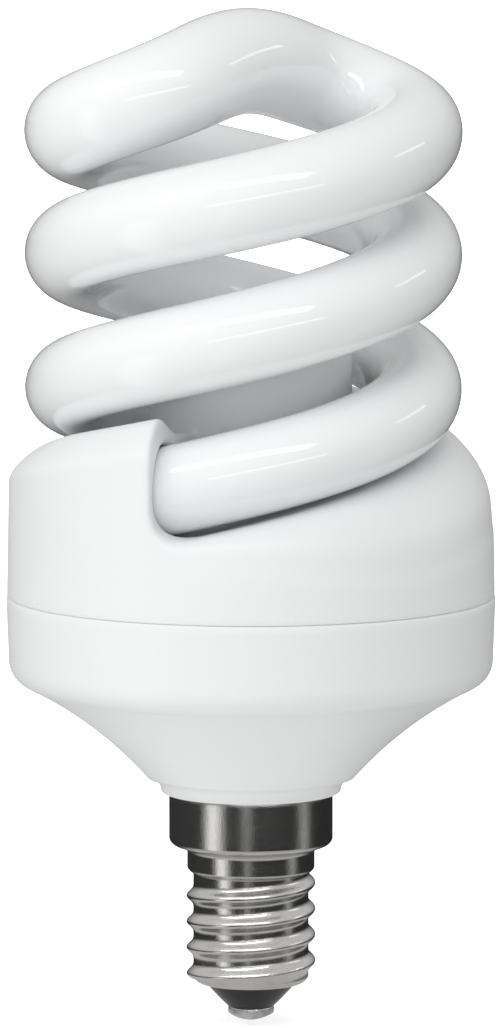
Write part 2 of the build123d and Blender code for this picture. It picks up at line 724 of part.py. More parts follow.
def transistor():
    """Small plastic transistor with a flat face, on three leads."""
    bottom = BOARD_TOP + TRANSISTOR_STAND
    body = disc(TRANSISTOR_RADIUS, bottom, bottom + TRANSISTOR_HEIGHT)
    flat = block(6 * TRANSISTOR_RADIUS, TRANSISTOR_RADIUS, bottom, bottom + TRANSISTOR_HEIGHT)
    body -= Pos(0, TRANSISTOR_FLAT + TRANSISTOR_RADIUS / 2, 0) * flat
    for index in (-1, 0, 1):
        body += upper_lead(index * TRANSISTOR_PITCH, 0, bottom + 0.5)
    return body


def toroid_core():
    """Ferrite ring that lies on its windings."""
    bottom = BOARD_TOP + TOROID_LIFT
    ring = disc(TOROID_RADIUS, bottom, bottom + TOROID_HEIGHT)
    ring -= disc(TOROID_BORE, bottom, bottom + TOROID_HEIGHT)
    return fillet(ring.edges(), 0.4)


def toroid_winding(turns):
    """A few turns of wire round the ring's section, packed side by side in its bore."""
    middle = (TOROID_RADIUS + TOROID_BORE) / 2
    width = TOROID_RADIUS - TOROID_BORE + 2 * PART_CLEARANCE
    height = TOROID_HEIGHT + 2 * PART_CLEARANCE
    low = BOARD_TOP + TOROID_LIFT - PART_CLEARANCE
    bottom = low - WINDING_WIRE
    top = low + height + WINDING_WIRE
    loop = block(width + 2 * WINDING_WIRE, WINDING_WIRE, bottom, top, middle)
    loop = fillet(loop.edges().filter_by(Axis.Y), WINDING_WIRE)
    loop -= block(width, WINDING_WIRE, low, low + height, middle)
    winding = loop
    for index in range(1, turns):
        winding += Rot(0, 0, WINDING_STEP * index) * loop
    return winding


def choke_levels():
    """Heights of the choke: core bottom, lower and upper window edge, core top."""
    bottom = BOARD_TOP + BOBBIN_BASE[2] + PART_CLEARANCE
    return bottom, bottom + CHOKE_LEG, bottom + CHOKE_HEIGHT - CHOKE_LEG, bottom + CHOKE_HEIGHT


def choke_core(upper):
    """One of the two E-shaped ferrite halves."""
    bottom, window_low, window_high, top = choke_levels()
    split = (bottom + top) / 2
    body = block(CHOKE_WIDTH, CHOKE_DEPTH, bottom, top)
    room = (CHOKE_WIDTH - 2 * CHOKE_LEG - CHOKE_MIDDLE_LEG) / 2
    middle = (CHOKE_MIDDLE_LEG + room) / 2
    for side in (-1, 1):
        body -= block(room, CHOKE_DEPTH, window_low, window_high, side * middle)
    low, high = (split, top) if upper else (bottom, split)
    return body & block(CHOKE_WIDTH, CHOKE_DEPTH, low, high)


def choke_sleeve():
    """Outer size of the bobbin's tube round the middle leg."""
    margin = 2 * (BOBBIN_WALL + PART_CLEARANCE)
    return CHOKE_MIDDLE_LEG + margin, CHOKE_DEPTH + margin


def choke_bobbin():
    """Moulded bobbin: base on the board, webs beside the core, flanges and tube."""
    bottom, window_low, window_high, _ = choke_levels()
    low = window_low + PART_CLEARANCE
    high = window_high - PART_CLEARANCE
    length, depth, height = BOBBIN_BASE
    sleeve_x, sleeve_y = choke_sleeve()
    flange_x = CHOKE_WIDTH - 2 * CHOKE_LEG - 2 * PART_CLEARANCE
    body = block(length, depth, BOARD_TOP, BOARD_TOP + height)
    web_middle = CHOKE_DEPTH / 2 + PART_CLEARANCE + BOBBIN_WEB / 2
    for side in (-1, 1):
        body += block(flange_x, BOBBIN_WEB, BOARD_TOP, low + BOBBIN_WALL, 0, side * web_middle)
    for foot in (low, high - BOBBIN_WALL):
        body += block(flange_x, BOBBIN_FLANGE_DEPTH, foot, foot + BOBBIN_WALL)
    body += block(sleeve_x, sleeve_y, low, high)
    bore_x = CHOKE_MIDDLE_LEG + 2 * PART_CLEARANCE
    body -= block(bore_x, CHOKE_DEPTH + 2 * PART_CLEARANCE, low, high)
    for x in (-0.5, 0.5):
        for y in (-0.5, 0.5):
            body += upper_lead(x * CHOKE_PIN_SPREAD[0], y * CHOKE_PIN_SPREAD[1], BOARD_TOP + height / 2)
    return body


def choke_winding():
    """Wound copper between the bobbin's flanges."""
    _, window_low, window_high, _ = choke_levels()
    low = window_low + 2 * PART_CLEARANCE + BOBBIN_WALL
    high = window_high - 2 * PART_CLEARANCE - BOBBIN_WALL
    sleeve_x, sleeve_y = choke_sleeve()
    outer_x = CHOKE_WIDTH - 2 * CHOKE_LEG - 4 * PART_CLEARANCE
    outer = block(outer_x, BOBBIN_FLANGE_DEPTH - 6 * PART_CLEARANCE, low, high)
    outer = fillet(outer.edges().filter_by(Axis.Z), 1.2)
    return outer - block(sleeve_x + 2 * PART_CLEARANCE, sleeve_y + 2 * PART_CLEARANCE, low, high)


def filter_capacitor():
    """Electrolytic can that hangs under the board, with its crimp groove."""
    top = BOARD_BOTTOM - 2 * PART_CLEARANCE
    body = disc(FILTER_RADIUS, top - FILTER_HEIGHT, top)
    body = fillet(body.edges(), 0.5)
    groove = Pos(0, 0, top - FILTER_HEIGHT * 0.15) * Torus(FILTER_RADIUS + FILTER_GROOVE / 2, FILTER_GROOVE)
    body -= groove
    for x, y in pair(FILTER_SPREAD):
        body += disc(LEAD_RADIUS, top - 1, BOARD_TOP - PART_CLEARANCE, x, y)
    return body


def line_choke_core():
    """Ferrite drum under the board."""
    top = BOARD_BOTTOM - 2 * PART_CLEARANCE
    bottom = top - LINE_CHOKE_HEIGHT
    drum = disc(LINE_CHOKE_RADIUS, bottom, bottom + LINE_CHOKE_FLANGE)
    drum += disc(LINE_CHOKE_WAIST, bottom, top)
    drum += disc(LINE_CHOKE_RADIUS, top - LINE_CHOKE_FLANGE, top)
    for x, y in pair(LINE_CHOKE_SPREAD):
        drum += disc(LEAD_RADIUS, top - LINE_CHOKE_FLANGE / 2, BOARD_TOP - PART_CLEARANCE, x, y)
    return drum


def line_choke_winding():
    """Copper between the drum's flanges."""
    top = BOARD_BOTTOM - 3 * PART_CLEARANCE - LINE_CHOKE_FLANGE
    bottom = top - LINE_CHOKE_HEIGHT + 2 * PART_CLEARANCE + 2 * LINE_CHOKE_FLANGE
    coil = disc(LINE_CHOKE_RADIUS - 0.4, bottom, top)
    return coil - disc(LINE_CHOKE_WAIST + PART_CLEARANCE, bottom, top)


def fuse_resistor():
    """Upright resistor under the board, in line with the live wire."""
    top = BOARD_BOTTOM - LEAD_STUB
    body = fillet(disc(FUSE_RADIUS, top - FUSE_LENGTH, top).edges(), 0.4)
    return body + disc(LEAD_RADIUS, top - 1, BOARD_TOP - PART_CLEARANCE)


def board_spots():
    """Every hole in the board as a spot and a radius."""
    hole = LEAD_RADIUS + HOLE_CLEARANCE
    x, y = CHOKE_PIN_SPREAD
    corners = [(-x / 2, -y / 2), (-x / 2, y / 2), (x / 2, -y / 2), (x / 2, y / 2)]
    legs = [(index * TRANSISTOR_PITCH, 0) for index in (-1, 0, 1)]
    spots = lead_spots(CHOKE_PLACE, corners) + lead_spots(FILTER_PLACE, pair(FILTER_SPREAD))
    spots += lead_spots(LINE_CHOKE_PLACE, pair(LINE_CHOKE_SPREAD)) + lead_spots(FUSE_PLACE, [(0, 0)])
    for places, spread in ((DIODE_PLACES, DIODE_SIZE[2]), (RESISTOR_PLACES, RESISTOR_SIZE[2])):
        for place in places:
            spots += lead_spots(place, pair(spread))
    spots += lead_spots(DIAC_PLACE, pair(DIAC_SIZE[2]))
    spots += lead_spots(THERMISTOR_PLACE, pair(THERMISTOR_RADIUS))
    spots += lead_spots(COUPLING_PLACE, pair(COUPLING_SIZE[3]))
    spots += lead_spots(RESONANT_PLACE, pair(RESONANT_SIZE[3]))
    spots += lead_spots(TIMING_PLACE, pair(TIMING_SIZE[3]))
    for place in TRANSISTOR_PLACES:
        spots += lead_spots(place, legs)
    return [(spot, hole) for spot in spots]


def circuit_board():
    """Round board with a hole for every lead and a square one for every pin."""
    board = disc(BOARD_RADIUS, BOARD_BOTTOM, BOARD_TOP)
    for spot, radius in board_spots():
        board -= disc(radius, BOARD_BOTTOM, BOARD_TOP, spot.X, spot.Y)
    opening = PIN_WIDTH + 2 * HOLE_CLEARANCE
    for spread in (-ELECTRODE_SPREAD, ELECTRODE_SPREAD):
        spot = pin_spot(spread)
        for cut in both_ends(block(opening, opening, BOARD_BOTTOM, BOARD_TOP, spot.X, spot.Y)):
            board -= cut
    return board


def save_pairs(name, shapes):
    """Write the shape of strand A and of strand B as nodes of their own."""
    for letter, shape in zip("ab", shapes):
        save(f"{name}_{letter}", shape)


def save_electrodes():
    """Cement plugs, electrode leads and wrap pins at both tube ends."""
    save_pairs("tube_cement", both_ends(tube_cement()))
    for side, spread in (("inner", -ELECTRODE_SPREAD), ("outer", ELECTRODE_SPREAD)):
        save_pairs(f"electrode_lead_{side}", both_ends(electrode_lead(spread, ELECTRODE_WIRE_RADIUS)))
        save_pairs(f"wrap_pin_{side}", both_ends(wrap_pin(spread)))


def save_board_parts():
    """The circuit board and everything on it."""
    save("circuit_board", circuit_board())
    save("choke_core_lower", placed(choke_core(False), CHOKE_PLACE))
    save("choke_core_upper", placed(choke_core(True), CHOKE_PLACE))
    save("choke_bobbin", placed(choke_bobbin(), CHOKE_PLACE))
    save("choke_winding", placed(choke_winding(), CHOKE_PLACE))
    save("filter_capacitor", placed(filter_capacitor(), FILTER_PLACE))
    save("line_choke_core", placed(line_choke_core(), LINE_CHOKE_PLACE))
    save("line_choke_winding", placed(line_choke_winding(), LINE_CHOKE_PLACE))
    save("fuse_resistor", placed(fuse_resistor(), FUSE_PLACE))
    save("drive_core", placed(toroid_core(), TOROID_PLACE))
    for number, turns in enumerate(WINDING_TURNS, 1):
        winding = Rot(0, 0, 360.0 * number / len(WINDING_TURNS)) * toroid_winding(turns)
        save(f"drive_winding_{number}", placed(winding, TOROID_PLACE))
    save("start_thermistor", placed(thermistor(), THERMISTOR_PLACE))
    save("coupling_capacitor", placed(dipped_part(COUPLING_SIZE), COUPLING_PLACE))
    save("resonant_capacitor", placed(dipped_part(RESONANT_SIZE), RESONANT_PLACE))
    save("timing_capacitor", placed(dipped_part(TIMING_SIZE), TIMING_PLACE))
    save("trigger_diac", placed(axial_part(DIAC_SIZE), DIAC_PLACE))
    for number, place in enumerate(DIODE_PLACES, 1):
        save(f"rectifier_diode_{number}", placed(axial_part(DIODE_SIZE), place))
    for number, place in enumerate(RESISTOR_PLACES, 1):
        save(f"resistor_{number}", placed(axial_part(RESISTOR_SIZE), place))
    for number, place in enumerate(TRANSISTOR_PLACES, 1):
        save(f"transistor_{number}", placed(transistor(), place))


def main():
    """Write every node of the bulb."""
    os.makedirs("parts", exist_ok=True)
    save("glass_tube", glass_tube())
    save("tube_holder", tube_holder())
    save("base_shell", base_shell())
    save("cap_shell", cap_shell())
    save("cap_insulator", cap_insulator())
    save("cap_contact", cap_contact())
    save("tip_solder", tip_solder())
    save("live_wire", live_wire())
    save("neutral_wire", neutral_wire())
    save_electrodes()
    save_board_parts()


main()
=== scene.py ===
"""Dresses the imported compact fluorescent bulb: smooth shapes, finishes, lights and camera.

Shapes are in millimetres, which mesh_object turns into the scene's metres. Finishes, lamps and the
camera are in metres.
"""

import json
import logging
import math
from dataclasses import dataclass, field
from enum import Enum
from typing import Any, Mapping, Optional, Sequence, Tuple, Union

import bpy
import numpy as np
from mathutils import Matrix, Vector


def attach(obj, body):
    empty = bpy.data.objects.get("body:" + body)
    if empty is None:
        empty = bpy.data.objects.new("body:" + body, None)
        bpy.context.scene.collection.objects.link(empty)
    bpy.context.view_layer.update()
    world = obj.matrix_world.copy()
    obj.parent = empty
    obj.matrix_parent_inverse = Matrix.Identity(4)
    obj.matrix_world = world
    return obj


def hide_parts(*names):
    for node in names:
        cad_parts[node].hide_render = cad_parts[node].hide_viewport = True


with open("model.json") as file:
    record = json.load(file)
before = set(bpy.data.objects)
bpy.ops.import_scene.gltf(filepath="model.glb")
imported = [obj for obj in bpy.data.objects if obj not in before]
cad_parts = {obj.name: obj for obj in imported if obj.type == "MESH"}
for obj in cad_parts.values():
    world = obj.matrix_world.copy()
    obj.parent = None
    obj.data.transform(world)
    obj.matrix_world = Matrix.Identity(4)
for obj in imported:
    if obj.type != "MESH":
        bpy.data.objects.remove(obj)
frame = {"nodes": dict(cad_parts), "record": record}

LOG = logging.getLogger("bulb")
MM = 0.001
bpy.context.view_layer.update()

Colour = Tuple[float, float, float]
Pair = Tuple[float, float]


class Kind(Enum):
    """What a slot of the record is made of, for the pieces that stay as packed."""

    BOARD = "board"
    FERRITE = "ferrite"
    BOBBIN = "bobbin"
    COPPER = "copper"
    SLEEVE = "capacitor_sleeve"
    RESIN = "film_coating"
    DIODE = "diode_body"
    RESISTOR = "resistor_body"
    TRANSISTOR = "transistor_body"
    THERMISTOR = "thermistor_body"
    WIRE = "wire"
    WIRE_SLEEVE = "wire_sleeve"
    PIN = "pin"
    CEMENT = "cement"
    CONTACT = "contact"


# Shader maths


class Signal:
    """A shader socket that takes part in plain arithmetic."""

    def __init__(self, shader: "Shader", socket: bpy.types.NodeSocket) -> None:
        """Keeps the socket with the material that it belongs to.

        Args:
            shader: The material under construction.
            socket: The output to carry.
        """
        self.shader = shader
        self.socket = socket

    def __add__(self, other: "Value") -> "Signal":
        """Sum."""
        return self.shader.math("ADD", self, other)

    __radd__ = __add__

    def __mul__(self, other: "Value") -> "Signal":
        """Product."""
        return self.shader.math("MULTIPLY", self, other)

    __rmul__ = __mul__

    def __sub__(self, other: "Value") -> "Signal":
        """Difference."""
        return self.shader.math("SUBTRACT", self, other)

    def __rsub__(self, other: "Value") -> "Signal":
        """Difference from a number."""
        return self.shader.math("SUBTRACT", other, self)

    def above(self, low: float, high: float) -> "Signal":
        """A smooth step from 0 to 1.

        Args:
            low: Where it leaves 0.
            high: Where it reaches 1.

        Returns:
            The step.
        """
        kind = {"interpolation_type": "SMOOTHSTEP"}
        values = {"Value": self, "From Min": low, "From Max": high}
        return Signal(self.shader, self.shader.node("ShaderNodeMapRange", kind, values).outputs["Result"])


Value = Union[Signal, float, int]


class Shader:
    """One material's node tree."""

    def __init__(self, name: str) -> None:
        """Starts an empty material.

        Args:
            name: The material's name.
        """
        self.material = bpy.data.materials.new(name)
        self.material.use_nodes = True
        self.tree = self.material.node_tree
        self.tree.nodes.clear()

    @classmethod
    def on_tree(cls, tree: bpy.types.NodeTree) -> "Shader":
        """Works on a tree that is there already, such as the world's.

        Args:
            tree: The node tree, which is emptied.
        """
        made = cls.__new__(cls)
        made.material = None
        made.tree = tree
        tree.nodes.clear()
        return made

    def node(
        self,
        kind: str,
        settings: Optional[Mapping[str, Any]] = None,
        values: Optional[Mapping[Union[str, int], Any]] = None,
    ) -> bpy.types.Node:
        """Makes a node, sets it up, then fills or links its sockets.

        Args:
            kind: The node's type.
            settings: Properties, set first.
            values: Numbers, colours, signals or sockets by input name or index.

        Returns:
            The new node.
        """
        made = self.tree.nodes.new(kind)
        for key, value in (settings or {}).items():
            setattr(made, key, value)
        for key, value in (values or {}).items():
            socket = made.inputs[key]
            if isinstance(value, Signal):
                value = value.socket
            if isinstance(value, bpy.types.NodeSocket):
                self.tree.links.new(value, socket)
            elif isinstance(value, tuple) and len(value) == 3 and socket.type == "RGBA":
                socket.default_value = (*value, 1.0)
            else:
                socket.default_value = value
        return made

    def math(self, operation: str, *operands: Value) -> Signal:
        """A Math node on signals and numbers."""
        values = dict(enumerate(operands))
        return Signal(self, self.node("ShaderNodeMath", {"operation": operation}, values).outputs[0])

    def mix(self, factor: Value, first: Any, second: Any) -> Signal:
        """A blend of two colours.

        Args:
            factor: 0 gives the first colour and 1 the second.
            first: A colour or a colour signal.
            second: A colour or a colour signal.

        Returns:
            The blended colour.
        """
        made = self.node("ShaderNodeMix", {"data_type": "RGBA"}, {0: factor, 6: first, 7: second})
        return Signal(self, made.outputs[2])

    def grey(self, level: Value) -> Signal:
        """The grey of a level, from black at 0 to white at 1."""
        return self.mix(level, (0.0, 0.0, 0.0), (1.0, 1.0, 1.0))

    def place(self) -> Signal:
        """The point being shaded, in the object's own metres."""
        return Signal(self, self.node("ShaderNodeTexCoord").outputs["Object"])

    def stretched(self, scale: Tuple[float, float, float]) -> Signal:
        """The point being shaded, with each axis scaled by itself.

        Args:
            scale: Factor of each axis.

        Returns:
            The scaled point.
        """
        settings = {"operation": "MULTIPLY"}
        made = self.node("ShaderNodeVectorMath", settings, {0: self.place(), 1: scale})
        return Signal(self, made.outputs[0])

    def axis(self, name: str) -> Signal:
        """One coordinate of the point being shaded."""
        return Signal(self, self.node("ShaderNodeSeparateXYZ", None, {0: self.place()}).outputs[name])

    def noise(self, scale: float, detail: float, rough: float, along: Optional[Signal] = None) -> Signal:
        """Fractal noise about 0.5.

        Args:
            scale: Cells in a metre.
            detail: Octaves.
            rough: How much the fine octaves count.
            along: The coordinates, if not the plain ones.

        Returns:
            The noise.
        """
        values = {"Vector": along or self.place(), "Scale": scale, "Detail": detail, "Roughness": rough}
        return Signal(self, self.node("ShaderNodeTexNoise", None, values).outputs[0])

    def cells(self, scale: float) -> Signal:
        """Distance to the nearest point of a scattered set."""
        values = {"Vector": self.place(), "Scale": scale}
        return Signal(self, self.node("ShaderNodeTexVoronoi", None, values).outputs["Distance"])

    def bump(self, height: Signal, depth: float) -> Signal:
        """A bumped normal.

        Args:
            height: The height signal, from 0 to 1.
            depth: What 1 stands for, in metres.

        Returns:
            The normal.
        """
        values = {"Height": height, "Distance": depth, "Strength": 1.0}
        return Signal(self, self.node("ShaderNodeBump", None, values).outputs[0])

    def glow(self, colour: Any) -> bpy.types.NodeSocket:
        """A shader that gives off light of this colour."""
        return self.node("ShaderNodeEmission", None, {"Color": colour}).outputs[0]

    def surface(self, **values: Any) -> bpy.types.Material:
        """Ends the tree in a Principled shader.

        Args:
            values: Sockets by name, with underscores for spaces.

        Returns:
            The finished material.
        """
        named = {key.replace("_", " "): value for key, value in values.items()}
        shader = self.node("ShaderNodeBsdfPrincipled", None, named)
        return self.finish(shader.outputs[0])

    def finish(self, socket: bpy.types.NodeSocket) -> bpy.types.Material:
        """Links a shader to the output and gives the material back."""
        self.node("ShaderNodeOutputMaterial", None, {"Surface": socket})
        return self.material


# Finishes


@dataclass(frozen=True)
class CoatedGlass:
    """Clear glass over an even white lamp coating."""

    name: str = "coated_glass"
    coating: Colour = (0.90, 0.905, 0.91)
    greyer: Colour = (0.80, 0.81, 0.825)
    roughness: float = 0.55
    gloss: float = 0.035
    greying_heights: Pair = (0.053, 0.066)

    def material(self) -> bpy.types.Material:
        """A matt white body with a clear coat, powdery mottling and slight waves from drawing.

        Returns:
            The material.
        """
        shader = Shader(self.name)
        cloud = shader.noise(160.0, 3.0, 0.6)
        powder = shader.noise(2600.0, 2.0, 0.7)
        # Greyer towards the bottom of the tube, below greying_heights, plus random cloud and powder
        # mottling.
        low_part = 1 - shader.axis("Z").above(*self.greying_heights)
        greying = low_part * 0.5 + cloud.above(0.5, 0.85) * 0.10 + powder.above(0.45, 0.8) * 0.06
        body = shader.mix(greying, self.coating, self.greyer)
        waves = shader.noise(95.0, 1.0, 0.4)
        return shader.surface(
            Base_Color=body,
            Roughness=self.roughness + (powder - 0.5) * 0.12,
            Specular_IOR_Level=0.25,
            Coat_Weight=1.0,
            Coat_Roughness=self.gloss,
            Coat_IOR=1.5,
            Normal=shader.bump(waves, 0.00006),
        )


@dataclass(frozen=True)
class MouldedWhite:
    """White moulded plastic with a fine spark-eroded grain."""

    name: str = "moulded_white"
    colour: Colour = (0.85, 0.855, 0.86)
    shade: Colour = (0.81, 0.815, 0.825)
    roughness: float = 0.42

    def material(self) -> bpy.types.Material:
        """Satin white with grain, faint flow clouds and a rubbed sheen.

        Returns:
            The material.
        """
        shader = Shader(self.name)
        cloud = shader.noise(70.0, 3.0, 0.55)
        grain = shader.noise(5200.0, 2.0, 0.6)
        pits = shader.cells(3600.0)
        relief = grain * 0.7 + pits * 0.3
        rubbed = cloud.above(0.35, 0.75)
        return shader.surface(
            Base_Color=shader.mix(cloud.above(0.4, 0.8) * 0.35, self.colour, self.shade),
            Roughness=self.roughness + (grain - 0.5) * 0.15 - rubbed * 0.05,
            Specular_IOR_Level=0.45,
            Normal=shader.bump(relief, 0.000012),
        )


@dataclass(frozen=True)
class PlatedSheet:
    """Nickel plate on drawn sheet metal."""

    name: str = "plated_sheet"
    bright: Colour = (0.80, 0.79, 0.775)
    dull: Colour = (0.60, 0.59, 0.575)
    roughness: float = 0.17

    def material(self) -> bpy.types.Material:
        """Bright metal with a rolled grain, fine pits and worn crests.

        Returns:
            The material.
        """
        shader = Shader(self.name)
        rolled = shader.noise(900.0, 3.0, 0.6, shader.stretched((1.0, 1.0, 0.35)))
        speckle = shader.noise(6500.0, 2.0, 0.7)
        scuffs = shader.noise(1500.0, 4.0, 0.75, shader.stretched((0.25, 0.25, 3.0)))
        stain = shader.noise(210.0, 3.0, 0.6)
        worn = scuffs.above(0.55, 0.75)
        relief = rolled * 0.45 + speckle * 0.55
        return shader.surface(
            Base_Color=shader.mix(stain.above(0.45, 0.8) * 0.6 + worn * 0.25, self.bright, self.dull),
            Metallic=1.0,
            Roughness=self.roughness + (speckle - 0.5) * 0.16 + worn * 0.10,
            Normal=shader.bump(relief, 0.000030),
        )


@dataclass(frozen=True)
class BlackGlass:
    """Dark pressed glass of the cap's insulator."""

    name: str = "black_glass"
    colour: Colour = (0.007, 0.007, 0.008)
    edge: Colour = (0.020, 0.019, 0.021)

    def material(self) -> bpy.types.Material:
        """Glossy black with pressing ripples and a dusty bloom.

        Returns:
            The material.
        """
        shader = Shader(self.name)
        ripple = shader.noise(520.0, 2.0, 0.5)
        dust = shader.noise(3800.0, 2.0, 0.7).above(0.55, 0.8)
        return shader.surface(
            Base_Color=shader.mix(dust, self.colour, self.edge),
            Roughness=0.14 + dust * 0.25,
            Specular_IOR_Level=0.5,
            Normal=shader.bump(ripple, 0.00004),
        )


@dataclass(frozen=True)
class Solder:
    """Solder that has set in a dome."""

    name: str = "solder"
    bright: Colour = (0.78, 0.78, 0.79)
    dull: Colour = (0.45, 0.45, 0.46)

    def material(self) -> bpy.types.Material:
        """Soft metal with a frosty skin and shrink marks.

        Returns:
            The material.
        """
        shader = Shader(self.name)
        frost = shader.noise(2400.0, 3.0, 0.65)
        marks = shader.noise(700.0, 2.0, 0.5)
        return shader.surface(
            Base_Color=shader.mix(marks.above(0.4, 0.75), self.bright, self.dull),
            Metallic=1.0,
            Roughness=0.22 + frost.above(0.4, 0.8) * 0.25,
            Normal=shader.bump(frost * 0.4 + marks * 0.6, 0.00005),
        )


@dataclass(frozen=True)
class Plain:
    """A finish of the pieces inside: two mottled colours, a grain and a gloss."""

    name: str
    colour: Colour
    second: Colour
    roughness: float
    metallic: float = 0.0
    coat: float = 0.0
    grain: float = 1800.0
    depth: float = 0.00002

    def material(self) -> bpy.types.Material:
        """Two colours mixed by noise, with the grain also in the gloss and the relief.

        Returns:
            The material.
        """
        shader = Shader(self.name)
        mottle = shader.noise(self.grain / 5, 3.0, 0.6).above(0.35, 0.75)
        grain = shader.noise(self.grain, 2.0, 0.6)
        return shader.surface(
            Base_Color=shader.mix(mottle, self.colour, self.second),
            Metallic=self.metallic,
            Roughness=self.roughness + (grain - 0.5) * 0.2,
            Coat_Weight=self.coat,
            Normal=shader.bump(grain, self.depth),
        )


INSIDE = {
    Kind.BOARD: Plain("board_laminate", (0.62, 0.50, 0.28), (0.52, 0.40, 0.20), 0.55),
    Kind.FERRITE: Plain("ferrite", (0.045, 0.045, 0.05), (0.09, 0.085, 0.085), 0.45),
    Kind.BOBBIN: Plain("bobbin_plastic", (0.80, 0.78, 0.70), (0.72, 0.69, 0.60), 0.5),
    Kind.COPPER: Plain("enamelled_copper", (0.72, 0.27, 0.09), (0.50, 0.16, 0.05), 0.3, 0.9, 0.6, 3000.0),
    Kind.SLEEVE: Plain("capacitor_sleeve", (0.02, 0.03, 0.10), (0.03, 0.04, 0.14), 0.35, 0.0, 0.3),
    Kind.RESIN: Plain("dipped_resin", (0.45, 0.05, 0.025), (0.36, 0.035, 0.02), 0.3, 0.0, 0.6, 900.0),
    Kind.DIODE: Plain("diode_black", (0.02, 0.02, 0.022), (0.035, 0.035, 0.037), 0.4),
    Kind.RESISTOR: Plain("resistor_lacquer", (0.62, 0.50, 0.33), (0.55, 0.42, 0.26), 0.45, 0.0, 0.3),
    Kind.TRANSISTOR: Plain("transistor_black", (0.022, 0.022, 0.024), (0.04, 0.04, 0.042), 0.5),
    Kind.THERMISTOR: Plain("thermistor_green", (0.03, 0.16, 0.08), (0.02, 0.11, 0.06), 0.4),
    Kind.WIRE: Plain("tinned_wire", (0.72, 0.72, 0.72), (0.55, 0.55, 0.56), 0.3, 1.0),
    Kind.WIRE_SLEEVE: Plain("wire_sleeve", (0.55, 0.03, 0.02), (0.45, 0.025, 0.02), 0.5),
    Kind.PIN: Plain("tinned_pin", (0.75, 0.70, 0.58), (0.62, 0.55, 0.42), 0.3, 1.0),
    Kind.CEMENT: Plain("cement", (0.72, 0.70, 0.64), (0.60, 0.57, 0.50), 0.9, 0.0, 0.0, 1200.0, 0.00008),
    Kind.CONTACT: Plain("contact_plate", (0.70, 0.60, 0.38), (0.55, 0.45, 0.27), 0.28, 1.0),
}


# Shapes


def mesh_object(name: str, points: np.ndarray, faces: Sequence[Sequence[int]]) -> bpy.types.Object:
    """Makes a smooth-shaded mesh from points in millimetres.

    Args:
        name: The object's name.
        points: One row of x, y, z for each vertex.
        faces: Vertex indices of each face.

    Returns:
        The new object, linked to the scene.
    """
    mesh = bpy.data.meshes.new(name)
    mesh.from_pydata((np.asarray(points, float) * MM).tolist(), [], [list(face) for face in faces])
    mesh.validate()
    mesh.polygons.foreach_set("use_smooth", [True] * len(mesh.polygons))
    mesh.update()
    made = bpy.data.objects.new(name, mesh)
    bpy.context.scene.collection.objects.link(made)
    return made


def grid_faces(rows: int, columns: int) -> list:
    """Quads over rows of points that close round, from one row to the next.

    Args:
        rows: How many rows.
        columns: Points in a row.

    Returns:
        The quads.
    """
    faces = []
    for row in range(rows - 1):
        for column in range(columns):
            after = (column + 1) % columns
            low, high = row * columns, (row + 1) * columns
            faces.append((low + column, low + after, high + after, high + column))
    return faces


def ring(angles: np.ndarray, radii: Any, heights: Any) -> np.ndarray:
    """Points round the axis.

    Args:
        angles: Bearings in radians.
        radii: One radius, or one for each bearing.
        heights: One height, or one for each bearing.

    Returns:
        One row of x, y, z for each bearing.
    """
    radii, heights = (np.broadcast_to(value, angles.shape) for value in (radii, heights))
    return np.stack([radii * np.cos(angles), radii * np.sin(angles), heights], axis=1)


def bearings(around: int) -> np.ndarray:
    """Evenly spaced bearings in radians."""
    return np.arange(around) * 2 * math.pi / around


def lathe(name: str, profile: Sequence[Pair], around: int) -> bpy.types.Object:
    """Turns an open profile of radius and height about the axis.

    Args:
        name: The object's name.
        profile: Points of radius and height, from the foot up.
        around: Points round the axis.

    Returns:
        The turned object.
    """
    rows = [ring(bearings(around), radius, height) for radius, height in profile]
    return mesh_object(name, np.concatenate(rows), grid_faces(len(profile), around))


def arc(start: Pair, bulge: float, end: Pair, steps: int) -> list:
    """Points of an arc between two profile points, without the first.

    Args:
        start: Where the arc starts.
        bulge: Height of the arc over its chord, positive to the left of the way from start to end.
        end: Where the arc ends.
        steps: How many points.

    Returns:
        The points after the start.
    """
    first, last = np.array(start), np.array(end)
    chord = last - first
    length = float(np.hypot(*chord))
    normal = np.array([-chord[1], chord[0]]) / length
    radius = (length**2 / 4 + bulge**2) / (2 * bulge)
    centre = (first + last) / 2 + normal * (bulge - radius)
    sweep = 2 * math.asin(max(-1.0, min(1.0, length / (2 * abs(radius)))))
    begin = first - centre
    points = []
    for index in range(1, steps + 1):
        turn = -math.copysign(sweep, bulge) * index / steps
        c, s = math.cos(turn), math.sin(turn)
        points.append(tuple(centre + (begin[0] * c - begin[1] * s, begin[0] * s + begin[1] * c)))
    return points


def smooth_step(value: Any, start: float, end: float) -> Any:
    """A smooth step from 0 to 1.

    Args:
        value: A number or an array.
        start: Where it leaves 0.
        end: Where it reaches 1.

    Returns:
        The step.
    """
    share = np.clip((value - start) / (end - start), 0.0, 1.0)
    return share**2 * (3 - 2 * share)


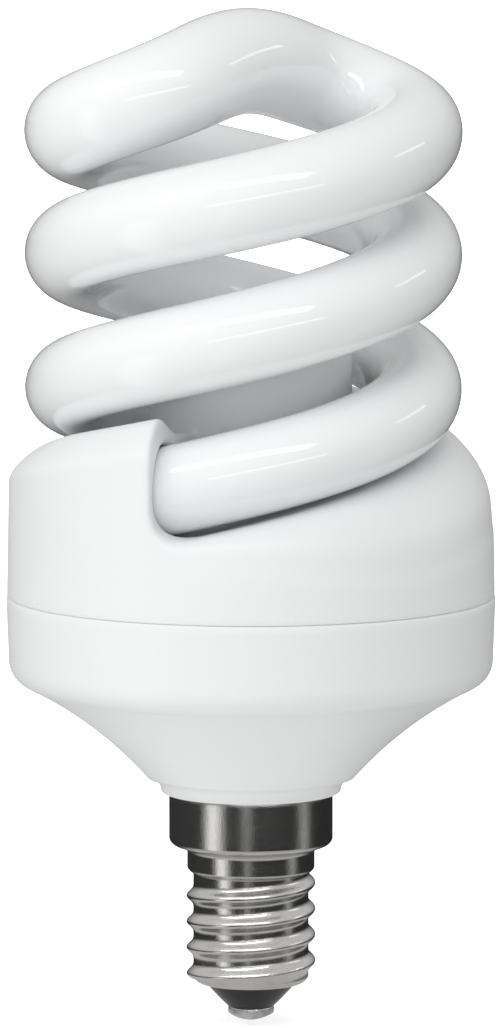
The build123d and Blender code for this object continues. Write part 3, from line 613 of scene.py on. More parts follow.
@dataclass
class SpiralTube:
    """The glass: two strands half a turn apart and the crossover that joins them."""

    level: float = 68.5
    offset: float = -0.8
    outer_radius: float = 23.37
    pitch: float = 28.75
    ease: float = 1.28
    ease_start: float = 180.0
    foot_radius: float = 4.68
    shoulder_radius: float = 5.15
    crown_radius: float = 5.63
    swell_start: float = -60.0
    swell_power: float = 1.4
    foot: float = -165.0
    head: float = 368.0
    bend: float = 7.5
    turn: float = 138.0
    crown: float = 103.4
    spacing: float = 0.8
    settling: float = 2.4
    around: int = 72
    finish: CoatedGlass = field(default_factory=CoatedGlass)

    def height(self, angle: float) -> float:
        """Height of a strand's centre.

        Args:
            angle: Degrees along the strand.

        Returns:
            The height.
        """
        past = max(0.0, (angle - self.ease_start) / 180.0)
        return self.level + self.pitch * angle / 360.0 - self.ease * past**2

    def strand_row(self, angle: float) -> np.ndarray:
        """Centre and radius of the tube at an angle of a strand.

        Args:
            angle: Degrees along the strand.

        Returns:
            x, y, z and the radius.
        """
        reach = max(0.0, (angle - self.swell_start) / (360.0 - self.swell_start))
        size = self.foot_radius + (self.shoulder_radius - self.foot_radius) * reach**self.swell_power
        out = self.outer_radius - size
        turn = math.radians(angle)
        return np.array([out * math.cos(turn), out * math.sin(turn), self.height(angle), size])

    def crossover_row(self, share: float) -> np.ndarray:
        """Centre and radius at a share of the way from a strand's head to the crown.

        Args:
            share: 0 at the head and 1 at the crown.

        Returns:
            x, y, z and the radius.
        """
        start = self.strand_row(self.head)
        size = start[3]
        reach = self.outer_radius - size
        turn = math.radians(self.turn)
        bend_x = reach - self.bend + self.bend * math.cos(turn)
        bend_y = self.bend * math.sin(turn)
        bend_length = self.bend * turn
        length = bend_length + math.hypot(bend_x, bend_y)
        run = share * length
        if run < bend_length:
            turned = run / self.bend
            x = reach - self.bend + self.bend * math.cos(turned)
            y = self.bend * math.sin(turned)
        else:
            left = (length - run) / (length - bend_length)
            x, y = bend_x * left, bend_y * left
        step = 0.5
        slope = (self.height(self.head + step) - self.height(self.head)) / (math.radians(step) * reach)
        blend = 3 * share**2 - 2 * share**3
        ease = share**3 - 2 * share**2 + share
        z = start[2] * (1 - blend) + self.crown * blend + slope * length * ease
        c, s = math.cos(math.radians(self.head)), math.sin(math.radians(self.head))
        return np.array([x * c - y * s, x * s + y * c, z, size + (self.crown_radius - size) * blend])

    def centre_line(self) -> np.ndarray:
        """Evenly spaced rows of x, y, z and radius from one end of the tube to the other.

        Returns:
            The rows, with the corners of the bent tube eased.
        """
        rows = [self.strand_row(angle) for angle in np.arange(self.foot, self.head, 1.0)]
        rows += [self.crossover_row(share) for share in np.linspace(0.0, 1.0, 60)]
        half = np.array(rows)
        other = half[-2::-1].copy()
        other[:, :2] *= -1
        whole = np.concatenate([half, other])
        steps = np.linalg.norm(np.diff(whole[:, :3], axis=0), axis=1)
        along = np.concatenate([[0.0], np.cumsum(steps)])
        count = int(along[-1] / self.spacing)
        even = np.linspace(0.0, along[-1], count)
        whole = np.stack([np.interp(even, along, whole[:, axis]) for axis in range(4)], axis=1)
        reach = int(self.settling / self.spacing)
        for _ in range(2):
            eased = whole.copy()
            for index in range(reach, count - reach):
                eased[index] = whole[index - reach : index + reach + 1].mean(axis=0)
            whole = eased
        whole[:, 0] += self.offset
        return whole

    def build(self) -> bpy.types.Object:
        """Sweeps circles along the centre line and rounds the two ends.

        Returns:
            The tube.
        """
        line = self.centre_line()
        spots, sizes = line[:, :3], line[:, 3]
        ways = np.gradient(spots, axis=0)
        ways /= np.linalg.norm(ways, axis=1)[:, None]
        side = np.cross(ways[0], (0.0, 0.0, 1.0))
        rings = []
        turns = bearings(self.around)
        last = len(spots) - 1
        for index, (spot, size, way) in enumerate(zip(spots, sizes, ways)):
            side = side - way * (side @ way)
            side /= np.linalg.norm(side)
            up = np.cross(way, side)
            away = min(index, last - index) * self.spacing
            if away < size:
                size = max(0.05, math.sqrt(max(0.0, size**2 - (size - away) ** 2)))
            rings.append(spot + size * (np.cos(turns)[:, None] * side + np.sin(turns)[:, None] * up))
        faces = grid_faces(len(rings), self.around)
        faces.append(list(range(self.around))[::-1])
        faces.append(list(range(last * self.around, (last + 1) * self.around)))
        return mesh_object("spiral_tube", np.concatenate(rings), faces)

    def dress(self) -> None:
        """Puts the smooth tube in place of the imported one."""
        made = self.build()
        made.data.materials.append(self.finish.material())
        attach(made, "root")
        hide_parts("glass_tube")
        LOG.info("spiral tube: %d faces", len(made.data.polygons))


def soft_max(first: np.ndarray, second: np.ndarray, width: float) -> np.ndarray:
    """The larger of two distances, blended where they are close.

    Args:
        first: The first distance.
        second: The second distance.
        width: How close they blend.

    Returns:
        The blend.
    """
    share = np.clip(width - np.abs(first - second), 0.0, None) / width
    return np.maximum(first, second) + share**2 * width / 4


def soft_min(first: np.ndarray, second: np.ndarray, width: float) -> np.ndarray:
    """The smaller of two distances, blended where they are close."""
    return -soft_max(-first, -second, width)


@dataclass
class TubeHolder:
    """The upper housing as one moulded skin: two helical seats, their hoods and the boss."""

    level: float = 68.5
    pitch: float = 28.75
    strand_radius: float = 18.69
    offset: float = -0.8
    tube_radius: float = 4.68
    socket_radius: float = 4.98
    seat_gap: float = 0.35
    ridge_gap: float = 1.05
    ridge_start: float = -60.0
    mouth: float = -118.0
    hood_end: float = -113.8
    hood_slant: float = 0.55
    trough: float = 2.4
    low_edge: Pair = (24.7, 1.8)
    round_edge: Pair = (20.6, 8.9)
    round_reach: float = 80.0
    box_edge: Pair = (19.3, 4.2)
    box_turn: Pair = (150.0, 185.0)
    shoulder_share: float = 0.8
    foot_radius: float = 26.12
    draft: float = 0.17
    draft_height: float = 9.0
    seam: float = 46.3
    edge_round: float = 0.10
    wall: float = 1.8
    boss: Pair = (10.8, 73.5)
    boss_round: float = 1.6
    lip_round: float = 0.5
    hood_round: float = 0.9
    corner_round: float = 4.6
    cell: float = 0.34
    skin_start: float = 46.75
    around: int = 360
    shoulder_middle: float = 0.72
    shoulder_bow: Pair = (0.39, 0.12)
    wall_ease: Pair = (0.8, 0.16)
    seat_blend: float = 1.2
    wall_blend: float = 0.7
    boss_blend: float = 0.8
    trough_edge: Pair = (22.5, 8.0)
    trough_turn: Pair = (10.0, 55.0)
    strand_lean: float = 0.971
    seat_from: float = -160.0
    hood_reach: float = 186.0
    socket_from: float = -300.0
    socket_end: float = -172.0
    draft_limit: float = 1.4
    rounds: int = 6
    probe: float = 0.02
    least_slope: float = 0.05

    def strand_height(self, angle: np.ndarray) -> np.ndarray:
        """Height of a strand's centre at an angle along it."""
        return self.level + self.pitch * angle / 360.0

    def seat(self, angle: np.ndarray, radius: np.ndarray, z: np.ndarray, boxed: np.ndarray) -> np.ndarray:
        """Distance over the seat under a strand, with its rounded shoulder.

        Args:
            angle: Degrees along the strand.
            radius: Distance from the housing's axis.
            z: Height.
            boxed: 1 where the shoulder is squarer.

        Returns:
            The distance, negative in the plastic.
        """
        ridge = smooth_step(angle, self.ridge_start, self.mouth + 180)
        gap = self.seat_gap + (self.ridge_gap - self.seat_gap) * ridge
        top = self.strand_height(angle) - self.tube_radius - gap
        rounded = smooth_step(angle, self.mouth, self.mouth + self.round_reach)
        edge = self.low_edge[0] + (self.round_edge[0] - self.low_edge[0]) * rounded
        drop = self.low_edge[1] + (self.round_edge[1] - self.low_edge[1]) * rounded
        edge = edge + (self.box_edge[0] - edge) * boxed
        drop = drop + (self.box_edge[1] - drop) * boxed
        drop = np.minimum(drop, self.shoulder_share * (top - self.seam))
        wall = self.foot_radius - self.draft
        middle_r = edge + (wall - edge) * self.shoulder_middle
        middle_z = top - drop * (self.shoulder_bow[0] + self.shoulder_bow[1] * boxed)
        centre_r, centre_z = self.circle(edge, top, middle_r, middle_z, wall + 0 * top, top - drop)
        size = np.hypot(edge - centre_r, top - centre_z)
        across, up = radius - centre_r, z - centre_z
        corner = np.where(across < 0, up, np.hypot(across, up)) - size
        corner -= self.wall_ease[1] * np.clip(top - drop + self.wall_ease[0] - z, 0.0, None) ** 2
        inner = smooth_step(self.trough_edge[0] - radius, 0.0, self.trough_edge[1])
        sag = self.trough * inner * smooth_step(angle, *self.trough_turn)
        return soft_max(z - top + sag, corner, self.seat_blend)

    @staticmethod
    def circle(*points: np.ndarray) -> Tuple[np.ndarray, np.ndarray]:
        """Centre of the circle through three points.

        Args:
            points: x and y of the first, second and third point.

        Returns:
            x and y of the centre.
        """
        ax, ay, bx, by, cx, cy = points
        d = 2 * (ax * (by - cy) + bx * (cy - ay) + cx * (ay - by))
        a2, b2, c2 = ax**2 + ay**2, bx**2 + by**2, cx**2 + cy**2
        x = (a2 * (by - cy) + b2 * (cy - ay) + c2 * (ay - by)) / d
        y = (a2 * (cx - bx) + b2 * (ax - cx) + c2 * (bx - ax)) / d
        return x, y

    def half(self, x: np.ndarray, y: np.ndarray, z: np.ndarray, turned: bool) -> np.ndarray:
        """Distance to the seat of one strand up to the end of its hood.

        Args:
            x: First coordinate.
            y: Second coordinate.
            z: Height.
            turned: Whether it is strand B, half a turn on.

        Returns:
            The distance.
        """
        sign = -1.0 if turned else 1.0
        radius = np.hypot(x, y)
        angle = (np.degrees(np.arctan2(sign * y, sign * x)) - self.seat_from) % 360.0 + self.seat_from
        bearing = angle + 180.0 if turned else angle
        boxed = smooth_step(bearing, *self.box_turn) if turned else 0.0 * angle
        top = self.seat(np.minimum(angle, self.hood_end + self.hood_reach), radius, z, boxed)
        close = self.hood_end + self.hood_slant * (radius - self.foot_radius)
        end = np.radians(angle - close - 180.0) * radius
        return soft_max(top, end, self.hood_round)

    def bore(self, x: np.ndarray, y: np.ndarray, z: np.ndarray, turned: bool) -> np.ndarray:
        """Distance to the socket that a strand's end sits in.

        Args:
            x: First coordinate.
            y: Second coordinate.
            z: Height.
            turned: Whether it is strand B's.

        Returns:
            The distance, negative in the socket.
        """
        sign = -1.0 if turned else 1.0
        cx = x - self.offset
        radius = np.hypot(cx, y)
        angle = (np.degrees(np.arctan2(sign * y, sign * cx)) - self.socket_from) % 360.0 + self.socket_from
        lift = (z - self.strand_height(angle)) * self.strand_lean
        round_bar = np.hypot(radius - self.strand_radius, lift) - self.socket_radius
        return np.maximum(round_bar, np.radians(self.socket_end - angle) * self.strand_radius)

    def distance(self, points: np.ndarray) -> np.ndarray:
        """Distance to the skin, negative inside.

        Args:
            points: One row of x, y, z for each point.

        Returns:
            One distance for each point.
        """
        x, y, z = points[:, 0], points[:, 1], points[:, 2]
        radius = np.hypot(x, y)
        tops = soft_min(self.half(x, y, z, False), self.half(x, y, z, True), self.corner_round)
        rise = np.clip((z - self.seam) / self.draft_height, 0.0, self.draft_limit)
        wall = self.foot_radius - self.draft * rise
        body = soft_max(tops, radius - wall, self.wall_blend)
        for turned in (False, True):
            body = soft_max(body, -self.bore(x, y, z, turned), self.lip_round)
        boss = soft_max(radius - self.boss[0], z - self.boss[1], self.boss_round)
        return soft_min(body, boss, self.boss_blend)

    def skin(self) -> Tuple[np.ndarray, list]:
        """Meshes the zero of the distance with one point in each cell that it crosses.

        Returns:
            The points and the quads.
        """
        reach = self.foot_radius + 2 * self.cell
        flat = np.arange(-reach, reach + self.cell, self.cell)
        high = np.arange(self.skin_start, self.boss[1] + 3 * self.cell, self.cell)
        grid = np.stack(np.meshgrid(flat, flat, high, indexing="ij"), axis=-1)
        values = self.distance(grid.reshape(-1, 3)).reshape(grid.shape[:3])
        inside = values < 0
        corners = np.zeros(tuple(size - 1 for size in inside.shape), int)
        for corner in np.ndindex(2, 2, 2):
            corners += inside[tuple(slice(at, at + size) for at, size in zip(corner, corners.shape))]
        crossed = (corners > 0) & (corners < 8)
        index = np.full(crossed.shape, -1)
        index[crossed] = np.arange(int(crossed.sum()))
        cells = np.argwhere(crossed)
        points = np.array([flat[0], flat[0], high[0]]) + (cells + 0.5) * self.cell
        faces = np.concatenate([self.quads(inside, index, axis) for axis in range(3)])
        points = self.settle(points)
        for _ in range(2):
            points = self.settle(self.relax(points, faces))
        return points, faces.tolist()

    def relax(self, points: np.ndarray, faces: np.ndarray) -> np.ndarray:
        """Moves points half way to the middle of their neighbours, which evens the quads.

        Args:
            points: One row of x, y, z for each point.
            faces: One row of four numbers for each quad.

        Returns:
            The moved points, with the lowest rows as they were.
        """
        total, count = np.zeros_like(points), np.zeros(len(points))
        for first, second in ((0, 1), (1, 2), (2, 3), (3, 0), (1, 0), (2, 1), (3, 2), (0, 3)):
            np.add.at(total, faces[:, first], points[faces[:, second]])
            np.add.at(count, faces[:, first], 1)
        free = (points[:, 2] > self.skin_start + 2 * self.cell)[:, None] & (count > 0)[:, None]
        middle = total / np.maximum(count, 1)[:, None]
        return np.where(free, (points + middle) / 2, points)

    def settle(self, points: np.ndarray) -> np.ndarray:
        """Moves points onto the skin along its slope, keeping the lowest row level.

        Args:
            points: One row of x, y, z for each point.

        Returns:
            The moved points.
        """
        lowest = points[:, 2] < self.skin_start + self.cell
        for _ in range(self.rounds):
            value = self.distance(points)
            steps = self.probe * np.eye(3)
            rises = [self.distance(points + step) - self.distance(points - step) for step in steps]
            slope = np.stack(rises, axis=1) / (2 * self.probe)
            slope[lowest, 2] = 0.0
            size = np.maximum((slope**2).sum(axis=1), self.least_slope)
            move = -slope * (value / size)[:, None]
            length = np.maximum(np.linalg.norm(move, axis=1), 1e-9)
            points = points + move * np.minimum(1.0, 0.5 * self.cell / length)[:, None]
        return points

    @staticmethod
    def quads(inside: np.ndarray, index: np.ndarray, axis: int) -> np.ndarray:
        """Quads round the grid edges along one axis that the skin crosses.

        Args:
            inside: Whether each grid point is in the plastic.
            index: Number of each crossed cell's point, or -1.
            axis: The edges' direction.

        Returns:
            One row of four numbers for each quad.
        """
        low = np.take(inside, range(inside.shape[axis] - 1), axis=axis)
        high = np.take(inside, range(1, inside.shape[axis]), axis=axis)
        edges = np.argwhere(low != high)
        others = [other for other in range(3) if other != axis]
        keep = np.all([(edges[:, o] > 0) & (edges[:, o] < inside.shape[o] - 1) for o in others], axis=0)
        edges = edges[keep]
        starts = low[tuple(edges.T)]
        corners = []
        for first, second in ((-1, -1), (0, -1), (0, 0), (-1, 0)):
            cell = edges.copy()
            cell[:, others[0]] += first
            cell[:, others[1]] += second
            corners.append(index[tuple(cell.T)])
        faces = np.stack(corners, axis=1)
        turned = starts if axis != 1 else ~starts
        faces[~turned] = faces[~turned][:, ::-1]
        return faces

    def build(self) -> bpy.types.Object:
        """The skin, with the turned edge at the seam below it.

        Returns:
            The holder.
        """
        points, faces = self.skin()
        foot, edge = self.foot_radius, self.edge_round
        profile = [(foot - self.wall, self.seam + 2.0), (foot - self.wall, self.seam)]
        profile += [(foot - edge, self.seam)]
        profile += [(foot - edge * 0.3, self.seam + edge * 0.3), (foot - 0.004, self.seam + edge)]
        profile += [(foot - 0.014, self.skin_start + 0.15), (foot - 0.03, self.skin_start + 0.45)]
        rows = [ring(bearings(self.around), radius, height) for radius, height in profile]
        base = len(points)
        faces += [[number + base for number in face] for face in grid_faces(len(profile), self.around)]
        return mesh_object("tube_holder_smooth", np.concatenate([points] + rows), faces)

    def dress(self, material: bpy.types.Material) -> None:
        """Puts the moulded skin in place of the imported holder.

        Args:
            material: The housing's finish.
        """
        made = self.build()
        made.data.materials.append(material)
        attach(made, "root")
        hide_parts("tube_holder")
        LOG.info("tube holder: %d faces", len(made.data.polygons))


@dataclass
class Housing:
    """The moulded housing: the turned base shell and the tube holder."""

    radius: float = 26.2
    draft: float = 0.25
    seam: float = 46.3
    seam_edge: float = 0.32
    wall: float = 1.8
    seam_bulge: float = 0.035
    crease: Pair = (24.1, 36.7)
    crease_below: Pair = (0.12, 0.08)
    crease_above: Pair = (0.12, 0.06)
    crease_bulge: float = 0.03
    corner_height: float = 2.4
    corner_bulge: float = 0.42
    lip_top: Pair = (11.2, 26.6)
    lip_hollow: float = 0.16
    lip_radius: float = 9.7
    lip_side: Pair = (0.12, 0.85)
    lip_edge: Pair = (0.35, 0.4)
    lip_edge_bulge: float = 0.12
    skirt_top: float = 24.9
    collar_radius: float = 8.4
    collar_bevel: Pair = (0.1, 0.25)
    flare: float = 0.75
    inner_depth: float = 3.0
    around: int = 256
    finish: MouldedWhite = field(default_factory=MouldedWhite)
    holder: TubeHolder = field(default_factory=TubeHolder)

    def base_profile(self) -> list:
        """The base shell's section, from inside the lip round to inside the seam.

        Returns:
            Points of radius and height.
        """
        crease_r, crease_z = self.crease
        cone_top = (crease_r - self.crease_below[0], crease_z - self.crease_below[1])
        corner_foot = (crease_r + self.crease_above[0], crease_z + self.crease_above[1])
        band_foot = (self.radius - self.draft, crease_z + self.corner_height)
        rise = self.seam - self.seam_edge - band_foot[1]
        inner = self.radius - self.wall
        points = [(self.collar_radius, self.skirt_top + self.collar_bevel[1])]
        points += [(self.collar_radius + self.collar_bevel[0], self.skirt_top)]
        points += [(self.lip_radius - self.lip_edge[0], self.skirt_top)]
        lip_foot = (self.lip_radius, self.skirt_top + self.lip_edge[1])
        points += arc(points[-1], -self.lip_edge_bulge, lip_foot, 5)
        points += [(self.lip_radius + self.lip_side[0], self.skirt_top + self.lip_side[1])]
        points += arc(points[-1], self.lip_hollow, self.lip_top, 8)
        points += arc(self.lip_top, self.flare, cone_top, 40)
        points += arc(cone_top, -self.crease_bulge, corner_foot, 4)
        points += arc(corner_foot, -self.corner_bulge, band_foot, 16)
        for share in np.linspace(0.1, 1.0, 10):
            points.append((band_foot[0] + self.draft * share, band_foot[1] + rise * share))
        points += arc(points[-1], -self.seam_bulge, (self.radius - self.seam_edge, self.seam), 5)
        points += [(inner, self.seam), (inner, self.seam - self.inner_depth)]
        return points

    def dress(self) -> None:
        """Puts the smooth base shell in place and gives the holder its finish."""
        material = self.finish.material()
        made = lathe("base_shell_smooth", self.base_profile(), self.around)
        made.data.materials.append(material)
        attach(made, "root")
        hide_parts("base_shell")
        LOG.info("base shell: %d faces", len(made.data.polygons))
        self.holder.dress(material)


@dataclass
class ScrewCap:
    """The plated cap with its rolled thread, the black insulator and the contact."""

    skirt_radius: float = 8.8
    skirt_top: float = 24.9
    skirt_bottom: float = 19.9
    corner: float = 1.3
    neck_radius: float = 6.85
    neck_bottom: float = 16.15
    root_radius: float = 6.2
    crest_radius: float = 6.945
    pitch: float = 2.822
    thread_start: float = 5.89
    thread_bearing: float = -81.0
    thread_run_in: Pair = (-0.55, -0.25)
    thread_run_out: Pair = (3.45, 3.70)
    thread_sharpness: float = 1.9
    rim_bottom: float = 4.0
    rim_radius: float = 5.0
    rim_edge: Pair = (0.30, 0.18)
    rim_height: float = 0.80
    barrel_start: float = 0.86
    barrel_rows: int = 120
    shoulder_height: float = 0.55
    neck_start: float = 0.7
    neck_flare: Pair = (0.45, 0.25)
    skirt_foot: Pair = (0.80, 0.58)
    insulator_foot: Pair = (2.55, 1.62)
    insulator_top: Pair = (4.80, 4.02)
    insulator_radius: float = 4.96
    tip_radius: float = 2.46
    tip_bulge: float = 0.21
    tip_sag: float = 0.05
    tip_sag_radius: float = 1.3
    tip_waves: Pair = (0.012, 0.008)
    around: int = 240
    finish: PlatedSheet = field(default_factory=PlatedSheet)
    glass: BlackGlass = field(default_factory=BlackGlass)
    solder: Solder = field(default_factory=Solder)

    def profile(self) -> list:
        """The cap's section without the thread, from the rim up to the skirt's top edge.

        Returns:
            Points of radius and height.
        """
        neck_top = self.skirt_bottom - self.corner
        points = [(self.rim_radius - 0.05, self.rim_bottom + 0.45)]
        points += [(self.rim_radius - 0.03, self.rim_bottom + 0.24)]
        rim_edge = (self.rim_radius + self.rim_edge[0], self.rim_bottom + self.rim_edge[1])
        points += arc(points[-1], -0.05, rim_edge, 3)
        points += arc(points[-1], -0.20, (self.root_radius, self.rim_bottom + self.rim_height), 8)
        barrel = np.linspace(self.rim_bottom + self.barrel_start, self.neck_bottom, self.barrel_rows)
        points += [(self.root_radius, z) for z in barrel]
        points += arc(points[-1], -0.10, (self.neck_radius, self.neck_bottom + self.shoulder_height), 6)
        neck = np.linspace(self.neck_bottom + self.neck_start, neck_top - 0.3, 6)
        points += [(self.neck_radius, z) for z in neck]
        neck_end = (self.neck_radius + self.neck_flare[0], neck_top + self.neck_flare[1])
        points += arc(points[-1], 0.12, neck_end, 6)
        flare = (self.skirt_radius - self.corner * self.skirt_foot[0], neck_top + self.skirt_foot[1])
        points.append(flare)
        points += arc(flare, -0.27, (self.skirt_radius, self.skirt_bottom), 10)
        points += [(self.skirt_radius, z) for z in np.linspace(self.skirt_bottom + 0.1, self.skirt_top, 10)]
        points.append((self.skirt_radius - 0.004, self.skirt_top + 0.01))
        return points

    def thread_rise(self, angle: np.ndarray, z: float) -> np.ndarray:
        """Height of the rolled thread over its root.

        Args:
            angle: Bearings in degrees.
            z: Height of the points.

        Returns:
            The rise at each point.
        """
        crest = self.thread_start + self.pitch * (angle - self.thread_bearing) / 360.0
        phase = (z - crest) / self.pitch
        wave = 0.5 + 0.5 * np.cos(2 * math.pi * phase)
        turns = phase - np.round(phase)
        along = (z - turns * self.pitch - self.thread_start) / self.pitch
        fade = smooth_step(along, *self.thread_run_in) * (1 - smooth_step(along, *self.thread_run_out))
        return (self.crest_radius - self.root_radius) * wave**self.thread_sharpness * fade

    def build_shell(self) -> bpy.types.Object:
        """The cap as rows of points whose radius carries the thread.

        Returns:
            The shell.
        """
        angles = bearings(self.around)
        rows = []
        for radius, z in self.profile():
            radii = np.full(self.around, radius)
            if self.rim_bottom + self.rim_height + 0.02 < z < self.neck_bottom + self.neck_start:
                radii = np.maximum(radii, self.root_radius + self.thread_rise(np.degrees(angles), z))
            rows.append(ring(angles, radii, z))
        return mesh_object("screw_shell", np.concatenate(rows), grid_faces(len(rows), self.around))

    def build_insulator(self) -> bpy.types.Object:
        """The black glass cone with a rounded foot.

        Returns:
            The cone.
        """
        profile = [(2.0, 1.52), (2.4, 1.5)]
        profile += arc(profile[-1], -0.03, self.insulator_foot, 4)
        profile += arc(profile[-1], -0.05, self.insulator_top, 10)
        profile += arc(profile[-1], -0.03, (self.insulator_radius, 4.25), 3)
        profile.append((self.insulator_radius, 4.6))
        return lathe("insulator_cone", profile, 120)

    def build_tip(self) -> bpy.types.Object:
        """The soldered contact: a low dome that has set a little unevenly.

        Returns:
            The dome.
        """
        angles = bearings(96)
        profile = [(2.3, 1.6), (2.42, 1.54), (self.tip_radius, 1.25), (self.tip_radius, 0.95), (2.43, 0.82)]
        profile += arc(profile[-1], self.tip_bulge, (0.02, 0.0), 18)
        rows = []
        for radius, z in profile:
            sag = self.tip_sag * math.exp(-((radius - self.tip_sag_radius) ** 2) / 0.5)
            wide, narrow = self.tip_waves
            radii = radius * (1 + wide * np.cos(2 * angles + 0.6) + narrow * np.cos(5 * angles))
            rows.append(ring(angles, radii, z + sag * (0.5 + 0.5 * np.cos(angles - 0.8))))
        return mesh_object("contact_dome", np.concatenate(rows), grid_faces(len(rows), len(angles)))

    def dress(self) -> None:
        """Puts the cap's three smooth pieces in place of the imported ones."""
        pieces = (
            (self.build_shell(), self.finish, "cap_metal", ("cap_shell",)),
            (self.build_insulator(), self.glass, "cap_glass", ("cap_insulator",)),
            (self.build_tip(), self.solder, "solder", ("tip_solder",)),
        )
        for made, finish, slot, nodes in pieces:
            made.data.materials.append(finish.material())
            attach(made, "root")
            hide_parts(*nodes)
            LOG.info("%s: %d faces", made.name, len(made.data.polygons))


@dataclass
class InnerParts:
    """The pieces inside the housing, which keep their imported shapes."""

    done: Sequence[str] = (
        "glass_tube",
        "tube_holder",
        "base_shell",
        "cap_shell",
        "cap_insulator",
        "tip_solder",
    )

    def dress(self) -> None:
        """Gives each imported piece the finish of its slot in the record."""
        materials = {kind.value: finish.material() for kind, finish in INSIDE.items()}
        slots = {row["node"]: row["material_slot"] for row in frame["record"]["subparts"]}
        for name, node in frame["nodes"].items():
            if name in self.done:
                continue
            node.data.materials.clear()
            node.data.materials.append(materials[slots[name]])
            LOG.info("%s: %s", name, slots[name])


# Surroundings


def direction(azimuth: float, elevation: float) -> Vector:
    """A unit vector towards a light or the camera.

    Args:
        azimuth: Degrees, 0 on the camera's side and 90 at +X.
        elevation: Degrees over the level.

    Returns:
        The vector.
    """
    a, e = math.radians(azimuth), math.radians(elevation)
    return Vector((math.sin(a) * math.cos(e), -math.cos(a) * math.cos(e), math.sin(e)))


@dataclass(frozen=True)
class Softbox:
    """A flat lamp that faces the bulb, in degrees, metres and watts."""

    name: str
    azimuth: float
    elevation: float
    distance: float
    width: float
    depth: float
    power: float
    mirrored: bool = True
    aim: Tuple[float, float, float] = (0.0, 0.0, 0.075)

    def place(self) -> None:
        """Makes the lamp and turns it to its aim."""
        data = bpy.data.lights.new(self.name, "AREA")
        data.shape = "RECTANGLE"
        data.size = self.width
        data.size_y = self.depth
        data.energy = self.power
        lamp = bpy.data.objects.new(self.name, data)
        bpy.context.scene.collection.objects.link(lamp)
        way = direction(self.azimuth, self.elevation)
        lamp.location = Vector(self.aim) + way * self.distance
        lamp.rotation_mode = "QUATERNION"
        lamp.rotation_quaternion = way.to_track_quat("Z", "Y")
        lamp.visible_camera = False
        lamp.visible_glossy = self.mirrored


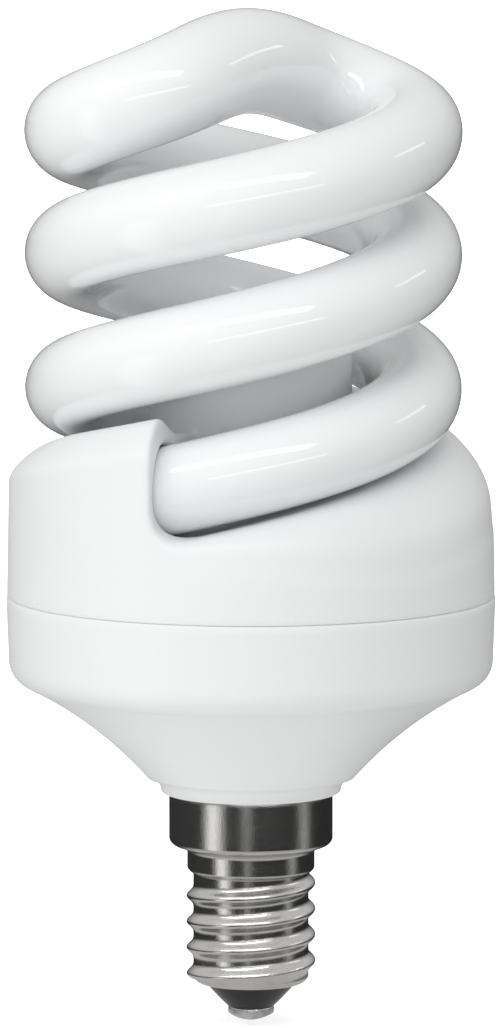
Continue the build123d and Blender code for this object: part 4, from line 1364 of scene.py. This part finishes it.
@dataclass
class Studio:
    """Floor, backdrop, lamps and camera."""

    camera_distance: float = 0.745
    camera_elevation: float = 6.8
    look_at: Tuple[float, float, float] = (-0.0001, 0.0, 0.0549)
    sensor: float = 36.0
    focal: float = 243.8
    world_level: float = 0.73
    world_right: float = 0.44
    world_turn: Pair = (0.0, 0.9)
    gloss_level: Pair = (0.20, 0.56)
    gloss_rise: Pair = (0.02, 0.45)
    bounce: Pair = (1.45, 0.54)
    floor_half: float = 6000.0
    floor_level: float = -0.4
    bounce_turn: Pair = (-0.12, 0.12)
    shadow_lift: float = 0.58
    shadow_reach: Pair = (0.02, 0.20)
    near_reach: Pair = (0.018, 0.038)
    # Painted reflection seen only by gloss: its dark level, its grey near the bulb and its bright wedges by
    # bearing.
    reflection_dark: float = 0.022
    reflection_near: float = 0.46
    reflection_gaps: Sequence[Tuple[float, float, float, float, float]] = (
        (-66.0, -61.0, -50.0, -36.0, 1.0),
        (-12.0, -6.5, -5.5, 0.0, 0.42),
        (68.0, 75.0, 80.0, 90.0, 0.36),
    )
    lamps: Sequence[Softbox] = (
        Softbox("long_softbox", -18.0, 46.0, 0.62, 0.98, 0.13, 1.64),
        Softbox("thin_strip", 10.0, 8.5, 0.70, 0.84, 0.040, 0.38),
        Softbox("side_strip", 96.0, 22.0, 0.62, 0.26, 0.036, 0.085),
        Softbox("right_fill", 112.0, 16.0, 0.90, 0.70, 0.60, 1.00, False),
        Softbox("left_fill", -62.0, 3.0, 0.90, 0.60, 0.50, 0.10, False),
    )

    def camera(self) -> None:
        """The camera at the photograph's angle and distance."""
        data = bpy.data.cameras.new("camera")
        data.sensor_width = self.sensor
        data.lens = self.focal
        data.clip_start = 0.01
        data.clip_end = 20.0
        eye = bpy.data.objects.new("camera", data)
        bpy.context.scene.collection.objects.link(eye)
        way = direction(0.0, self.camera_elevation)
        eye.location = Vector(self.look_at) + way * self.camera_distance
        eye.rotation_mode = "QUATERNION"
        eye.rotation_quaternion = way.to_track_quat("Z", "Y")
        bpy.context.scene.camera = eye

    def world(self) -> None:
        """A white surround for the camera, and as a light dimmer, most of all on the right."""
        made = bpy.data.worlds.new("surround")
        made.use_nodes = True
        bpy.context.scene.world = made
        shader = Shader.on_tree(made.node_tree)
        path = shader.node("ShaderNodeLightPath")
        rays = ("Camera", "Transmission", "Glossy")
        camera, through, gloss = (Signal(shader, path.outputs[f"Is {ray} Ray"]) for ray in rays)
        seen = shader.math("MAXIMUM", camera, through)
        way = shader.node("ShaderNodeTexCoord").outputs["Generated"]
        ways = shader.node("ShaderNodeSeparateXYZ", None, {0: way}).outputs
        right, up = Signal(shader, ways["X"]), Signal(shader, ways["Z"])
        light = self.world_level * (1 - right.above(*self.world_turn) * (1 - self.world_right))
        low, high = self.gloss_level
        sky = up.above(*self.gloss_rise) * (high - low) + low
        light = light + gloss * (sky - light)
        level = light + seen * (1 - light)
        background = shader.node("ShaderNodeBackground", None, {"Color": (1.0, 1.0, 1.0), "Strength": level})
        shader.node("ShaderNodeOutputWorld", None, {"Surface": background.outputs[0]})

    def floor(self) -> None:
        """A pale floor that keeps the bulb's shadow, with a painted reflection that only gloss sees."""
        corners = ((-1, -1), (1, -1), (1, 1), (-1, 1))
        points = np.array([(x * self.floor_half, y * self.floor_half, self.floor_level) for x, y in corners])
        made = mesh_object("floor", points, [(0, 1, 2, 3)])
        shader = Shader("floor_paper")
        path = shader.node("ShaderNodeLightPath")
        seen = Signal(shader, path.outputs["Is Camera Ray"])
        gloss = Signal(shader, path.outputs["Is Glossy Ray"])
        x, y = shader.axis("X"), shader.axis("Y")
        reach = shader.math("SQRT", x * x + y * y)
        fibre = shader.noise(900.0, 2.0, 0.6)
        white = shader.mix(fibre, (0.86, 0.86, 0.86), (0.89, 0.89, 0.89))
        lift = shader.mix(reach.above(*self.shadow_reach), (self.shadow_lift,) * 3, (1.0, 1.0, 1.0))
        front = shader.node("ShaderNodeBsdfDiffuse", None, {"Color": white}).outputs[0]
        shown = shader.node("ShaderNodeAddShader", None, {0: front, 1: shader.glow(lift)}).outputs[0]
        lit = x.above(*self.bounce_turn) * (self.bounce[1] - self.bounce[0]) + self.bounce[0]
        # A mix holds its factor at 1, so a level over 1 is white.
        bounce = shader.glow(shader.grey(lit))
        # Painted reflection: for glossy rays the floor glows dark with bright wedges, which paints the cap's
        # dark tones and streaks.
        painted_reflection = shader.glow(self.painted_reflection_colour(shader, x, y, reach))
        hidden = shader.node("ShaderNodeMixShader", None, {0: gloss, 1: bounce, 2: painted_reflection}).outputs[0]
        whole = shader.node("ShaderNodeMixShader", None, {0: seen, 1: hidden, 2: shown}).outputs[0]
        made.data.materials.append(shader.finish(whole))

    def painted_reflection_colour(self, shader: Shader, x: Signal, y: Signal, reach: Signal) -> Signal:
        """Painted reflection that gloss sees on the floor: dark, with bright wedges at some bearings.

        Args:
            shader: The floor's material.
            x: The floor's first coordinate.
            y: The floor's second coordinate.
            reach: Distance from the bulb's axis.

        Returns:
            The colour.
        """
        turn = shader.math("ARCTAN2", x, 0 - y) * (180.0 / math.pi)
        level: Value = self.reflection_dark
        # Each entry adds one bright wedge of painted reflection.
        for low, full, end, out, bright in self.reflection_gaps:
            gap = turn.above(low, full) * (1 - turn.above(end, out))
            level = gap * (bright - self.reflection_dark) + level
        near = 1 - reach.above(*self.near_reach)
        level = level * (1 - near) + near * self.reflection_near
        return shader.grey(level)

    def build(self) -> None:
        """Sets up the whole studio."""
        scene = bpy.context.scene
        scene.view_settings.view_transform = "Standard"
        self.camera()
        self.world()
        self.floor()
        for lamp in self.lamps:
            lamp.place()
        LOG.info("studio: %d lamps", len(self.lamps))


def main() -> None:
    """Builds the pieces in order, then the studio."""
    logging.basicConfig(level=logging.INFO, format="%(name)s: %(message)s")
    for part in (SpiralTube(), Housing(), ScrewCap(), InnerParts()):
        part.dress()
    Studio().build()


if __name__ == "__main__":
    main()
